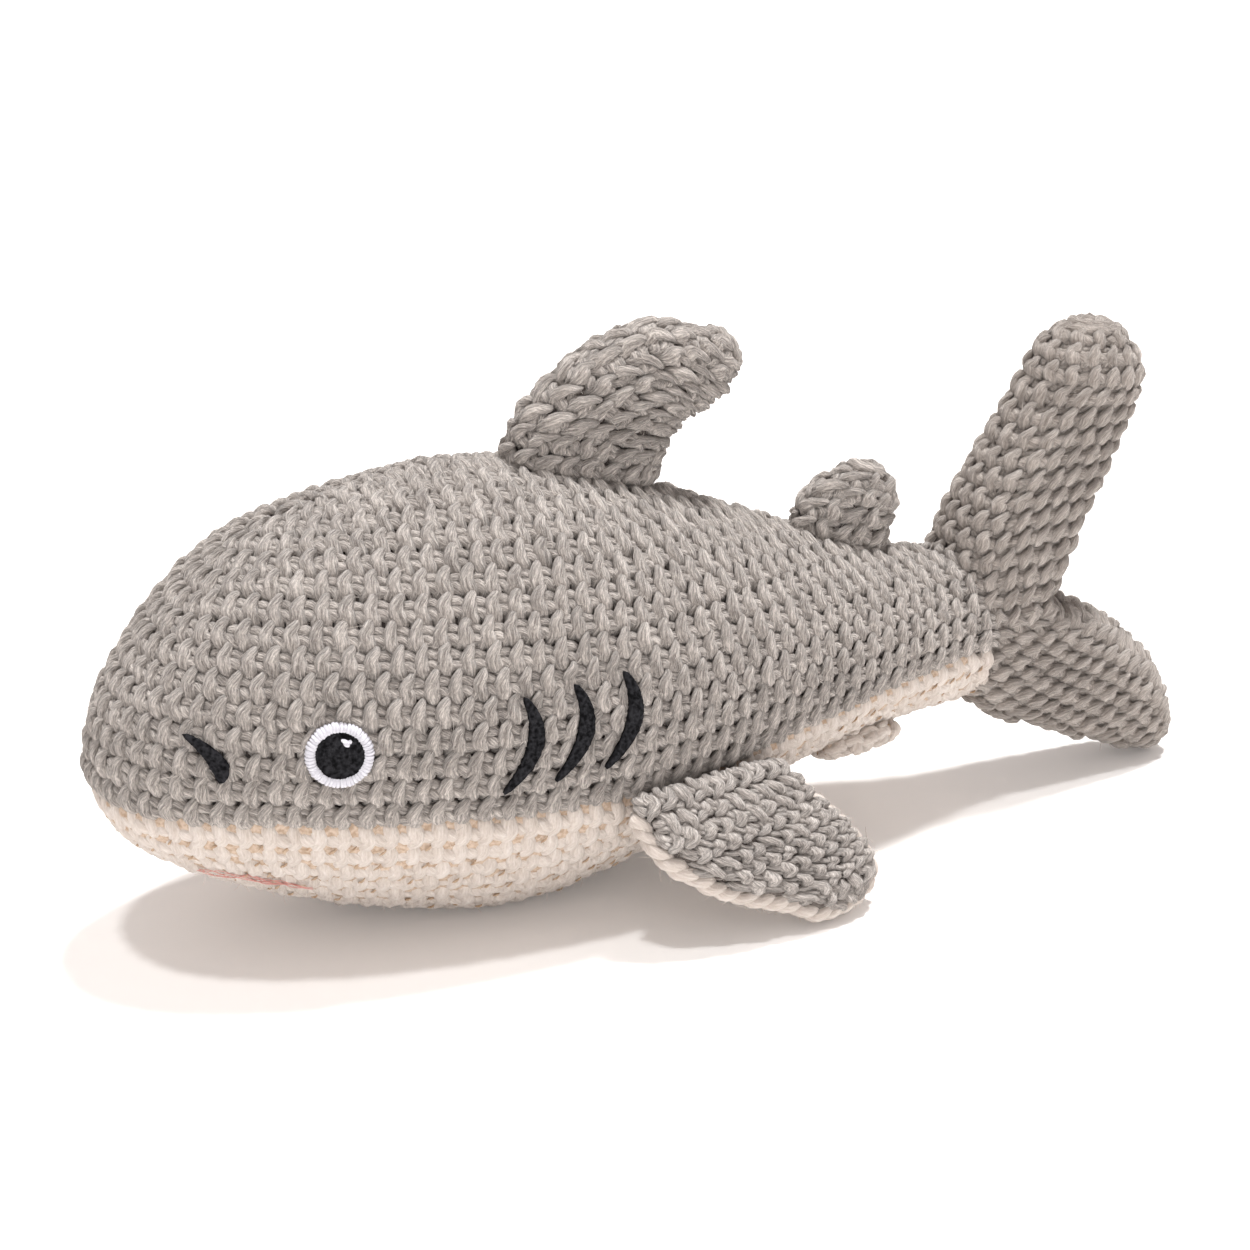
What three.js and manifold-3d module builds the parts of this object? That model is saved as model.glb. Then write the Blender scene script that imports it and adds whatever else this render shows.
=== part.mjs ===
// A crocheted toy shark: a stuffed body of two crocheted panels, with stuffed fins sewn on.
// Millimetres, +Z up, the nose towards -X and the tail towards +X. It rests on z = 0.
import * as THREE from 'three';
import { mergeVertices } from 'three/addons/utils/BufferGeometryUtils.js';
import Module from 'manifold-3d';

const wasm = await Module();
wasm.setup();

// ---- Driving dimensions -------------------------------------------------------------------

const LENGTH = 360; // nose to tail tip
const NOSE_X = -LENGTH / 2;
const BODY_LENGTH = 0.75 * LENGTH; // nose to the tail seam
const FABRIC = 4.5; // thickness of the crocheted fabric of the body
const FIN_FABRIC = 3.5; // thickness of the crocheted fabric of the fins
const GAP = 0.4; // clearance between pieces that lie against each other

// Body: the height of the back and of the belly and the half width, at shares of its length.
// The sizes at the nose are those that the rounded end closes in from.
const STATIONS = [0, 0.14, 0.28, 0.42, 0.56, 0.7, 0.85, 1];
const BACK_HEIGHT = [99, 120.5, 126, 129, 121.5, 107.5, 92, 81];
const BELLY_HEIGHT = [16.5, 11.5, 4, -2, 6, 20, 30, 33];
const HALF_WIDTH = [44, 49, 52, 54.5, 52.5, 44, 32.5, 20];
const WIDEST_SHARE = 0.47; // height of the widest line, as a share of a section's height
const NOSE_SHARE = 0.36; // share of the body's length over which the nose rounds off
const NOSE_FULLNESS = 2.5; // 2 is an ellipse, more is blunter
const TAIL_LEAN = 0.23; // how far the tail seam leans forward for each millimetre it rises
const SEAM_HEIGHT = [51, 49, 46, 43.5, 43, 46.5, 51.5, 54]; // grey back meets cream belly

// Tail hinge: an upright line inside the root of the tail fin, leaning as the seam does.
const TAIL_HINGE_X = 107;
const TAIL_HINGE_Z = 58;
const TAIL_ROOT_RADIUS = 17.5;

// A fin is a list of ribs from its root outwards. Each rib runs from the fin's front edge to its
// rear edge, in the plane of the fin, and has a thickness. The tip is a rounded cap on the last.
const DORSAL_FIN = {
  ribs: [
    { front: [-55.5, 137.6], rear: [-9.5, 125.4], thickness: 18 },
    { front: [-46, 148], rear: [-6.5, 131.5], thickness: 20 },
    { front: [-31, 158], rear: [-2, 135.5], thickness: 19 },
    { front: [-11, 164], rear: [5, 138], thickness: 17 },
    { front: [5, 159], rear: [12, 143], thickness: 13 },
  ],
  tip: 6,
};
const REAR_DORSAL_FIN = {
  ribs: [
    { front: [38, 102.8], rear: [68, 93.2], thickness: 14 },
    { front: [42.5, 108], rear: [70, 98.5], thickness: 14 },
    { front: [51, 111], rear: [69.5, 104], thickness: 12 },
  ],
  tip: 4,
};
const TAIL_UPPER_LOBE = {
  ribs: [
    { front: [88.8, 62.2], rear: [121, 62.2], thickness: 34 },
    { front: [91.5, 84], rear: [132, 85], thickness: 31 },
    { front: [104, 110], rear: [146.5, 110], thickness: 28 },
    { front: [118.5, 133], rear: [156, 127.5], thickness: 24 },
  ],
  tip: 18,
};
const TAIL_LOWER_LOBE = {
  ribs: [
    { front: [121, 61.8], rear: [88.8, 61.8], thickness: 34 },
    { front: [139, 55.5], rear: [97, 33], thickness: 31 },
    { front: [156.5, 44], rear: [124, 18.5], thickness: 27 },
    { front: [170, 29.5], rear: [149.5, 8], thickness: 23 },
    { front: [175, 17.5], rear: [163, 3], thickness: 18 },
  ],
  tip: 7,
};

// Side fins: ribs are in each fin's own plane. The root line is the first axis of that plane.
const PECTORAL_FIN = {
  ribs: [
    { front: [-24.5, 0], rear: [30, 0], thickness: 11 },
    { front: [-19, 14], rear: [38, 10], thickness: 12 },
    { front: [-3, 27], rear: [46, 21], thickness: 11.5 },
    { front: [20, 37.5], rear: [49.5, 31], thickness: 10 },
  ],
  tip: 6.5,
  root: [-20.5, 53, 39.8],
  along: [0.973, -0.228, -0.03],
  outward: [0.103, 0.548, -0.83],
};
const PELVIC_FIN = {
  ribs: [
    { front: [-8, 0], rear: [8, 0], thickness: 8 },
    { front: [-9.5, 9], rear: [9.5, 9], thickness: 9 },
    { front: [-8, 19], rear: [8, 19], thickness: 8 },
  ],
  tip: 6,
  root: [38.5, 16.9, 26],
  along: [0, 0.91, 0.42],
  outward: [0.99, 0, 0.06],
};
const SLOT_WIDTH = 3; // the slot in a fin's foot
const THROUGH = 30; // long enough to cut through a fin's root
const EDGE_YARN = 2; // how far the cream underside shows beyond the grey top of a side fin

// Face: places and sizes seen from the side.
const EYE = { x: -125.7, z: 69.5, radius: 9.2, pupil: 6.6, highlight: 1.7 };
const HIGHLIGHT_SHIFT = [1.6, 3.6];
const PATCH = 1.6; // thickness of felt and of satin stitching
const GILLS = [[-76, 65.8], [-61, 67], [-46, 68]]; // middle of each slit
const GILL_HEIGHT = 26;
const GILL_BULGE = 6.5; // how far a slit bows towards the tail
const GILL_WIDTH = 4.2;
const GILL_LEAN = 3.5; // the top of a slit is this much nearer the tail than its middle line
const NOSTRIL = { top: [-162.5, 75], low: [-153, 63], width: 4.4 };
const MOUTH = { corner: [-130, 25], front: [-182, 33], width: 2.2 };

// Resolution
const BODY_POINTS = 24; // points round a section of the body
const FIN_POINTS = 12; // points round a section of a fin
const SECTIONS_PER_RIB = 2;
const CAP_SECTIONS = 2;

// ---- Materials ----------------------------------------------------------------------------

function yarn(color) {
  return new THREE.MeshStandardMaterial({ color, roughness: 0.95, metalness: 0 });
}

const GREY_YARN = 0xa8a3a0;
const CREAM_YARN = 0xe8ddd0;
const WHITE_THREAD = 0xeeecf2;
const BLACK_FELT = 0x17171a;
const RED_THREAD = 0xc9585a;
const FIBREFILL = 0xf6f6f4;

// ---- Curves -------------------------------------------------------------------------------

// A smooth curve through values at rising places, read at any place.
function smoothValue(places, values, place) {
  const last = places.length - 1;
  let i = 0;
  while (i < last - 1 && place > places[i + 1]) i += 1;
  const slope = (k) => {
    const before = Math.max(k - 1, 0);
    const after = Math.min(k + 1, last);
    return (values[after] - values[before]) / (places[after] - places[before]);
  };
  const span = places[i + 1] - places[i];
  const s = (place - places[i]) / span;
  const startPart = (1 + 2 * s) * (1 - s) ** 2 * values[i] + s * (1 - s) ** 2 * span * slope(i);
  const endPart = s * s * (3 - 2 * s) * values[i + 1] + s * s * (s - 1) * span * slope(i + 1);
  return startPart + endPart;
}

// ---- Solids -------------------------------------------------------------------------------

// A closed skin over rings of points. Each end closes on the middle point given for it.
function skin(rings, startPoint, endPoint) {
  const count = rings[0].length;
  const points = [...rings.flat(), startPoint, endPoint];
  const start = points.length - 2;
  const end = points.length - 1;
  const faces = [];
  for (let j = 0; j < count; j += 1) {
    const next = (j + 1) % count;
    faces.push(start, next, j);
    for (let i = 0; i < rings.length - 1; i += 1) {
      const a = i * count;
      const b = a + count;
      faces.push(a + j, a + next, b + next);
      faces.push(a + j, b + next, b + j);
    }
    const lastRing = (rings.length - 1) * count;
    faces.push(end, lastRing + j, lastRing + next);
  }
  const geometry = new THREE.BufferGeometry();
  geometry.setAttribute('position', new THREE.Float32BufferAttribute(points.flatMap((p) => p.toArray()), 3));
  geometry.setIndex(faces);
  return geometry;
}

function turnedInsideOut(geometry) {
  const faces = [];
  for (let i = 0; i < geometry.index.count; i += 3) {
    faces.push(geometry.index.getX(i), geometry.index.getX(i + 2), geometry.index.getX(i + 1));
  }
  geometry.setIndex(faces);
  return geometry;
}

function solid(geometry) {
  const bare = geometry.clone();
  bare.deleteAttribute('normal');
  bare.deleteAttribute('uv');
  const merged = mergeVertices(bare, 1e-4);
  return new wasm.Manifold(new wasm.Mesh({
    numProp: 3,
    vertProperties: merged.attributes.position.array,
    triVerts: new Uint32Array(merged.index.array),
  }));
}

function geometryOf(manifold) {
  const mesh = manifold.getMesh();
  const geometry = new THREE.BufferGeometry();
  geometry.setAttribute('position', new THREE.BufferAttribute(mesh.vertProperties, 3));
  geometry.setIndex(new THREE.BufferAttribute(mesh.triVerts, 1));
  return geometry;
}

function mirrored(geometry) {
  const other = geometry.clone();
  other.scale(1, -1, 1);
  return turnedInsideOut(other);
}

// An upright outline in x and z, carried through from one y to another.
function sideOutline(points, fromY, toY) {
  const shape = new THREE.Shape(points.map(([x, z]) => new THREE.Vector2(x, z)));
  const geometry = new THREE.ExtrudeGeometry(shape, { depth: toY - fromY, bevelEnabled: false });
  geometry.rotateX(Math.PI / 2);
  geometry.translate(0, toY, 0);
  return solid(geometry);
}

// ---- Body ---------------------------------------------------------------------------------

// The section of the body at a share u of its length, drawn in by inset on every side.
function bodySection(u, inset) {
  const noseX = NOSE_X + inset;
  const x = noseX + u * (NOSE_X + BODY_LENGTH - noseX);
  const station = (x - NOSE_X) / BODY_LENGTH;
  const back = smoothValue(STATIONS, BACK_HEIGHT, station) - inset;
  const belly = smoothValue(STATIONS, BELLY_HEIGHT, station) + inset;
  const halfWidth = smoothValue(STATIONS, HALF_WIDTH, station) - inset;
  const middle = belly + WIDEST_SHARE * (back - belly);
  const fromRound = Math.max(1 - u / NOSE_SHARE, 0);
  const cap = (1 - fromRound ** NOSE_FULLNESS) ** (1 / NOSE_FULLNESS);
  const ring = [];
  for (let j = 0; j < BODY_POINTS; j += 1) {
    const angle = (2 * Math.PI * (j + 0.5)) / BODY_POINTS;
    const rise = Math.sin(angle);
    const height = (rise > 0 ? back - middle : middle - belly) * rise * cap;
    const lean = TAIL_LEAN * height * station ** 4;
    ring.push(new THREE.Vector3(x - lean, halfWidth * Math.cos(angle) * cap, middle + height));
  }
  return { ring, centre: new THREE.Vector3(x, 0, middle) };
}

function bodyForm(inset, beyondTail = 0) {
  const shares = [0.12, 0.3, 0.5, 0.7, 0.88].map((k) => NOSE_SHARE * (1 - Math.cos((k * Math.PI) / 2)));
  const steps = 9;
  for (let i = 0; i <= steps; i += 1) {
    shares.push(NOSE_SHARE + ((1 - NOSE_SHARE) * i) / steps);
  }
  const sections = shares.map((u) => bodySection(u, inset));
  const first = bodySection(0, inset).centre;
  const last = sections.at(-1);
  if (beyondTail > 0) {
    const shift = new THREE.Vector3(beyondTail, 0, 0);
    sections.push({
      ring: last.ring.map((p) => p.clone().add(shift)),
      centre: last.centre.clone().add(shift),
    });
  }
  return skin(sections.map((s) => s.ring), first, sections.at(-1).centre);
}

// The upright round that the tail fin turns in, leaning with the tail seam.
function tailRound(radius) {
  const geometry = new THREE.CylinderGeometry(radius, radius, 400, 32);
  geometry.rotateX(Math.PI / 2);
  geometry.rotateY(-Math.atan(TAIL_LEAN));
  geometry.translate(TAIL_HINGE_X, 0, TAIL_HINGE_Z);
  return solid(geometry);
}

// Everything below the seam between the grey back and the cream belly, lowered by a clearance.
function belowSeam(clearance) {
  const steps = 12;
  const points = [[NOSE_X - 20, -20]];
  points.push([NOSE_X - 20, SEAM_HEIGHT[0] - clearance]);
  for (let i = 0; i <= steps; i += 1) {
    const share = i / steps;
    const height = smoothValue(STATIONS, SEAM_HEIGHT, share);
    points.push([NOSE_X + share * BODY_LENGTH, height - clearance]);
  }
  points.push([NOSE_X + BODY_LENGTH + 30, SEAM_HEIGHT.at(-1) - clearance]);
  points.push([NOSE_X + BODY_LENGTH + 30, -20]);
  return sideOutline(points, -100, 100);
}

const floorBlock = new THREE.BoxGeometry(500, 300, 100).translate(0, 0, -50);
const socket = tailRound(TAIL_ROOT_RADIUS + 2 * GAP);
const bodyOuter = solid(bodyForm(0)).subtract(solid(floorBlock)).subtract(socket);
const fabricShell = bodyOuter.subtract(solid(bodyForm(FABRIC, 20)));
const backPanel = geometryOf(fabricShell.subtract(belowSeam(0)));
const bellyPanel = geometryOf(fabricShell.intersect(belowSeam(GAP)));
const bodyFilling = geometryOf(solid(bodyForm(FABRIC + GAP)).subtract(tailRound(TAIL_ROOT_RADIUS + 3 * GAP)));

// ---- Fins ---------------------------------------------------------------------------------

// A point of a flattened round section: two half circles joined by straight sides.
function flatRound(angle, width, thickness) {
  const radius = thickness / 2;
  const across = Math.cos(angle);
  const side = Math.abs(across) < 1e-9 ? 0 : Math.sign(across);
  return [side * (width / 2 - radius) + radius * across, radius * Math.sin(angle)];
}

// A fin in its own plane: x along the root, z outwards, y across its thickness. The root end can
// be moved outwards, or carried straight on inwards when rootShift is negative.
function finForm(fin, inset, rootShift = 0) {
  const places = fin.ribs.map((_, i) => i);
  const read = (pick, place) => smoothValue(places, fin.ribs.map(pick), place);
  const lastPlace = places.at(-1);
  const sectionAt = (place, grow, shift) => {
    const front = new THREE.Vector2(read((r) => r.front[0], place), read((r) => r.front[1], place));
    const rear = new THREE.Vector2(read((r) => r.rear[0], place), read((r) => r.rear[1], place));
    const chord = rear.clone().sub(front);
    const along = chord.clone().normalize();
    const outward = new THREE.Vector2(-along.y, along.x);
    const middle = front.clone().add(rear).multiplyScalar(0.5).addScaledVector(outward, shift);
    const width = (chord.length() - 2 * inset) * grow;
    const thickness = Math.min((read((r) => r.thickness, place) - 2 * inset) * grow, width);
    const ring = [];
    for (let j = 0; j < FIN_POINTS; j += 1) {
      const angle = (2 * Math.PI * (j + 0.5)) / FIN_POINTS;
      const [a, b] = flatRound(angle, width, thickness);
      ring.push(new THREE.Vector3(middle.x + along.x * a, b, middle.y + along.y * a));
    }
    return { ring, centre: new THREE.Vector3(middle.x, 0, middle.y) };
  };
  const sections = [];
  sections.push(sectionAt(0, 1, rootShift));
  if (rootShift < 0) sections.push(sectionAt(0, 1, 0));
  for (let i = 1; i <= lastPlace * SECTIONS_PER_RIB; i += 1) {
    sections.push(sectionAt(i / SECTIONS_PER_RIB, 1, 0));
  }
  const tip = fin.tip - inset;
  for (let i = 1; i <= CAP_SECTIONS; i += 1) {
    const angle = (i / (CAP_SECTIONS + 1)) * (Math.PI / 2);
    sections.push(sectionAt(lastPlace, Math.cos(angle), tip * Math.sin(angle)));
  }
  const end = sectionAt(lastPlace, 0.01, tip).centre;
  return skin(sections.map((s) => s.ring), sections[0].centre, end);
}

// The rounded foot of a fin, on which it rolls over the body's surface.
function finFoot(fin) {
  const { front, rear, thickness } = fin.ribs[0];
  const radius = thickness / 2;
  const width = Math.hypot(rear[0] - front[0], rear[1] - front[1]);
  const geometry = new THREE.CapsuleGeometry(radius, width - thickness, 2, FIN_POINTS);
  geometry.rotateZ(-Math.PI / 2);
  geometry.rotateY(-Math.atan2(rear[1] - front[1], rear[0] - front[0]));
  geometry.translate((front[0] + rear[0]) / 2, 0, (front[1] + rear[1]) / 2);
  return solid(geometry);
}

// The slot in a fin's foot, through which it is stuffed.
function stuffingSlot(fin) {
  const { front, rear } = fin.ribs[0];
  const width = Math.hypot(rear[0] - front[0], rear[1] - front[1]);
  const geometry = new THREE.BoxGeometry(width / 2, SLOT_WIDTH, 40).translate(0, 0, -19);
  geometry.rotateY(-Math.atan2(rear[1] - front[1], rear[0] - front[0]));
  geometry.translate((front[0] + rear[0]) / 2, 0, (front[1] + rear[1]) / 2);
  return solid(geometry);
}

// A cover with a rounded foot, and the stuffing inside it.
function footedFin(fin) {
  const cavity = solid(finForm(fin, FIN_FABRIC)).add(stuffingSlot(fin));
  return {
    cover: geometryOf(solid(finForm(fin, 0)).add(finFoot(fin)).subtract(cavity)),
    filling: geometryOf(solid(finForm(fin, FIN_FABRIC + GAP, GAP))),
  };
}

// A lobe of the tail fin, open where it is sewn to the other lobe, and the stuffing inside it.
function tailLobe(lobe) {
  const cavity = solid(finForm(lobe, FIN_FABRIC, -THROUGH));
  const filling = solid(finForm(lobe, FIN_FABRIC + GAP));
  return {
    cover: geometryOf(roundedAtHinge(solid(finForm(lobe, 0)).subtract(cavity), TAIL_ROOT_RADIUS)),
    filling: geometryOf(roundedAtHinge(filling, TAIL_ROOT_RADIUS - FIN_FABRIC)),
  };
}

// Keeps what lies behind the tail hinge or within a radius of it.
function roundedAtHinge(form, radius) {
  const behind = new THREE.BoxGeometry(200, 200, 400).translate(100, 0, 0);
  behind.rotateY(-Math.atan(TAIL_LEAN));
  behind.translate(TAIL_HINGE_X, 0, TAIL_HINGE_Z);
  return form.intersect(solid(behind).add(tailRound(radius)));
}

const dorsalFin = footedFin(DORSAL_FIN);
const rearDorsalFin = footedFin(REAR_DORSAL_FIN);
const tailUpperLobe = tailLobe(TAIL_UPPER_LOBE);
const tailLowerLobe = tailLobe(TAIL_LOWER_LOBE);

// The placing of a side fin on the shark's right: its own x, y and z in the shark's frame.
function finPlace(fin) {
  const along = new THREE.Vector3(...fin.along).normalize();
  const outward = new THREE.Vector3(...fin.outward);
  outward.addScaledVector(along, -outward.dot(along)).normalize();
  const across = new THREE.Vector3().crossVectors(outward, along);
  return new THREE.Matrix4().makeBasis(along, across, outward).setPosition(...fin.root);
}

// The same fin with its outline drawn in all round by a margin.
function withinMargin(fin, margin) {
  const ribs = fin.ribs.map((rib) => {
    const chord = new THREE.Vector2(rib.rear[0] - rib.front[0], rib.rear[1] - rib.front[1]);
    const step = chord.normalize().multiplyScalar(margin);
    return {
      front: [rib.front[0] + step.x, rib.front[1] + step.y],
      rear: [rib.rear[0] - step.x, rib.rear[1] - step.y],
      thickness: rib.thickness,
    };
  });
  return { ...fin, ribs, tip: fin.tip - margin };
}

// Half of a side fin's own space: y above or below its middle plane.
function halfSpace(side) {
  return solid(new THREE.BoxGeometry(200, 50, 200).translate(0, side * (25 + GAP / 2), 0));
}

// Two panels sewn round the edge, with a thin pad of stuffing between them.
function panelFin(fin) {
  const topFin = withinMargin(fin, EDGE_YARN);
  const outerSide = -1;
  const underForm = solid(finForm(fin, 0)).add(finFoot(fin));
  const topForm = solid(finForm(topFin, 0)).add(finFoot(topFin));
  const cavity = solid(finForm(topFin, FIN_FABRIC, -THROUGH));
  const pieces = {
    top: geometryOf(topForm.subtract(cavity).intersect(halfSpace(outerSide))),
    underside: geometryOf(underForm.subtract(cavity).intersect(halfSpace(-outerSide))),
    filling: geometryOf(solid(finForm(topFin, FIN_FABRIC + GAP))),
  };
  Object.values(pieces).forEach((geometry) => geometry.applyMatrix4(finPlace(fin)));
  return pieces;
}

const pectoralFin = panelFin(PECTORAL_FIN);
const pelvicFin = geometryOf(solid(finForm(PELVIC_FIN, 0)).add(finFoot(PELVIC_FIN)));
pelvicFin.applyMatrix4(finPlace(PELVIC_FIN));

// ---- Face ---------------------------------------------------------------------------------

// A layer that follows the body's surface, between two heights above it.
function surfaceLayer(from, to) {
  return solid(bodyForm(-to)).subtract(solid(bodyForm(-from)));
}

function circle([x, z], radius) {
  const points = [];
  const count = 20;
  for (let i = 0; i < count; i += 1) {
    const angle = (2 * Math.PI * i) / count;
    points.push([x + radius * Math.cos(angle), z + radius * Math.sin(angle)]);
  }
  return points;
}

// A crescent between two points, bowed to one side and thickest at a share of its length.
function crescent([topX, topZ], [lowX, lowZ], bulge, width, thickest) {
  const steps = 8;
  const one = [];
  const other = [];
  for (let i = 0; i <= steps; i += 1) {
    const t = i / steps;
    const bow = bulge * 4 * t * (1 - t);
    const swell = t < thickest ? t / thickest : (1 - t) / (1 - thickest);
    const half = 0.3 + (width / 2) * Math.sqrt(swell);
    one.push([topX + (lowX - topX) * t + bow - half, topZ + (lowZ - topZ) * t]);
    other.unshift([topX + (lowX - topX) * t + bow + half, topZ + (lowZ - topZ) * t]);
  }
  return [...one, ...other];
}

// The line of the mouth from one corner, forward and up round the front of the snout.
function mouthBand() {
  const steps = 8;
  const upper = [];
  const lower = [];
  for (let i = 0; i <= steps; i += 1) {
    const t = i / steps;
    const x = MOUTH.front[0] + (MOUTH.corner[0] - MOUTH.front[0]) * t;
    const z = MOUTH.front[1] + (MOUTH.corner[1] - MOUTH.front[1]) * t ** 0.8;
    upper.push([x, z + MOUTH.width / 2]);
    lower.unshift([x, z - MOUTH.width / 2]);
  }
  return [...upper, ...lower];
}

const patchLayer = surfaceLayer(GAP, GAP + PATCH);
const pupilLayer = surfaceLayer(2 * GAP + PATCH, 2 * GAP + 2 * PATCH);
const highlightLayer = surfaceLayer(3 * GAP + 2 * PATCH, 3 * GAP + 2.6 * PATCH);
const onSide = (outline, layer) => geometryOf(sideOutline(outline, 5, 90).intersect(layer));

const eyePatch = onSide(circle([EYE.x, EYE.z], EYE.radius), patchLayer);
const eyePupil = onSide(circle([EYE.x, EYE.z], EYE.pupil), pupilLayer);
const highlightAt = [EYE.x + HIGHLIGHT_SHIFT[0], EYE.z + HIGHLIGHT_SHIFT[1]];
const eyeHighlight = onSide(circle(highlightAt, EYE.highlight), highlightLayer);
const nostril = onSide(crescent(NOSTRIL.top, NOSTRIL.low, 1.2, NOSTRIL.width, 0.7), patchLayer);
const gillSlits = GILLS.map(([x, z]) => {
  const top = [x + GILL_LEAN - GILL_BULGE / 2, z + GILL_HEIGHT / 2];
  const low = [x - GILL_LEAN - GILL_BULGE / 2, z - GILL_HEIGHT / 2];
  return onSide(crescent(top, low, GILL_BULGE, GILL_WIDTH, 0.5), patchLayer);
});
const mouth = geometryOf(sideOutline(mouthBand(), -90, 90).intersect(surfaceLayer(GAP, GAP + PATCH / 2)));

// ---- Scene --------------------------------------------------------------------------------

const group = new THREE.Group();

function addPiece(name, geometry, color) {
  const mesh = new THREE.Mesh(geometry, yarn(color));
  mesh.name = name;
  group.add(mesh);
}

// The shark's left side is towards -Y: geometry made at +Y is its right side.
function addPair(name, geometry, color) {
  addPiece(`right_${name}`, geometry, color);
  addPiece(`left_${name}`, mirrored(geometry), color);
}

addPiece('back_panel', backPanel, GREY_YARN);
addPiece('belly_panel', bellyPanel, CREAM_YARN);
addPiece('body_filling', bodyFilling, FIBREFILL);
addPiece('dorsal_fin_cover', dorsalFin.cover, GREY_YARN);
addPiece('dorsal_fin_filling', dorsalFin.filling, FIBREFILL);
addPiece('rear_dorsal_fin_cover', rearDorsalFin.cover, GREY_YARN);
addPiece('rear_dorsal_fin_filling', rearDorsalFin.filling, FIBREFILL);
addPiece('tail_upper_lobe_cover', tailUpperLobe.cover, GREY_YARN);
addPiece('tail_upper_lobe_filling', tailUpperLobe.filling, FIBREFILL);
addPiece('tail_lower_lobe_cover', tailLowerLobe.cover, GREY_YARN);
addPiece('tail_lower_lobe_filling', tailLowerLobe.filling, FIBREFILL);
addPair('pectoral_fin_top', pectoralFin.top, GREY_YARN);
addPair('pectoral_fin_underside', pectoralFin.underside, CREAM_YARN);
addPair('pectoral_fin_filling', pectoralFin.filling, FIBREFILL);
addPair('pelvic_fin', pelvicFin, CREAM_YARN);
addPair('eye_patch', eyePatch, WHITE_THREAD);
addPair('eye_pupil', eyePupil, BLACK_FELT);
addPair('eye_highlight', eyeHighlight, WHITE_THREAD);
addPair('nostril', nostril, BLACK_FELT);
gillSlits.forEach((slit, i) => addPair(`gill_slit_${i + 1}`, slit, BLACK_FELT));
addPiece('mouth_stitching', mouth, RED_THREAD);

export default group;
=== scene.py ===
"""The looks of a crocheted toy shark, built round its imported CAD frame.

Forms are worked out in millimetres and turned into metres as each mesh is made. +Z is up, the
nose points towards -X and the shark's left side towards -Y. The crochet is laid stitch by stitch:
every stitch is a few short strands of yarn, set on a four-cornered patch of a stuffed form.
"""

import math

import bpy
import numpy as np
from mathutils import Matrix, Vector


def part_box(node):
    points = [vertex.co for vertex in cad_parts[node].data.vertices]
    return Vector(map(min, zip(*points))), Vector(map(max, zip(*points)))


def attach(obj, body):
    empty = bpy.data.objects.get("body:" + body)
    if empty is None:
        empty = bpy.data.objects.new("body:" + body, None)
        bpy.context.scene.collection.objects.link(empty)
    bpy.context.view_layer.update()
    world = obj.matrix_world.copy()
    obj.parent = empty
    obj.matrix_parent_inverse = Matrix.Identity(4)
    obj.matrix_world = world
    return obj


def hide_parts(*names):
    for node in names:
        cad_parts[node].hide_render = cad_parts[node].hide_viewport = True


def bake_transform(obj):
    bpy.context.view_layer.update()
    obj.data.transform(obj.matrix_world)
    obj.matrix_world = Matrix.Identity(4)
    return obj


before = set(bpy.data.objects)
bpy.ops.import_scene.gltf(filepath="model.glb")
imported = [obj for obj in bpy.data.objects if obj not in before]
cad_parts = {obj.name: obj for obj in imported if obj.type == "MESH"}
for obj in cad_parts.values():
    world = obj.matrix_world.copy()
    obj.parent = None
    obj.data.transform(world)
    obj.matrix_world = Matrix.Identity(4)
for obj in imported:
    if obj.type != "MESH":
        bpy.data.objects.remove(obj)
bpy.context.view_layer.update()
random = np.random.default_rng(7)

MM = 0.001
TINY = 0.001  # a length or an area that counts as nothing, so that rounding decides nothing

# ---- Driving dimensions, in millimetres

NOSE_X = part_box("back_panel")[0][0] / MM
BODY_LENGTH = 270.0
STATIONS = [0, 0.14, 0.28, 0.42, 0.56, 0.7, 0.85, 1]
BACK_HEIGHT = [99, 120.5, 126, 129, 121.5, 107.5, 92, 81]
BELLY_HEIGHT = [16.5, 11.5, 4, -2, 6, 20, 30, 33]
HALF_WIDTH = [44, 49, 52, 54.5, 52.5, 44, 32.5, 20]
SEAM_HEIGHT = [51, 49, 46, 43.5, 43, 46.5, 51.5, 54]
WIDEST_SHARE = 0.47
NOSE_SHARE = 0.36
NOSE_FULLNESS = 2.5
TAIL_LEAN = 0.23

# Crochet: the width of a stitch and the height of a row.
STITCH = 6.6
ROW = 7.1
TAIL_ROW = 5.9  # the rows draw together towards the tail, from the middle to this place
TAIL_ROW_X = 90.0

# Fins: ribs from the root outwards, each with its front and rear ends and its thickness. The
# rows have a height, a width of stitch and a first place, which lies inside the root. Each fin
# also gives the two points of a bend, which nothing here reads.
TAIL_BEND = [(88, 0, 58), (116, 0, 58)]
DORSAL_FIN = {
    "ribs": [
        ((-55.5, 137.6), (-9.5, 125.4), 18),
        ((-46, 148), (-6.5, 131.5), 20),
        ((-31, 158), (-2, 135.5), 19),
        ((-11, 164), (5, 138), 17),
        ((5, 159), (12, 143), 13),
    ],
    "tip": 6,
    "rows": (5.7, STITCH, -9.0),
    "bend": [(-32.5, 0, 130), (-28.5, 0, 145)],
}
REAR_DORSAL_FIN = {
    "ribs": [
        ((38, 102.8), (68, 93.2), 14),
        ((42.5, 108), (70, 98.5), 14),
        ((51, 111), (69.5, 104), 12),
    ],
    "tip": 4,
    "rows": (6.2, STITCH, -8.0),
    "bend": [(53, 0, 96), (56, 0, 106)],
}
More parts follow.
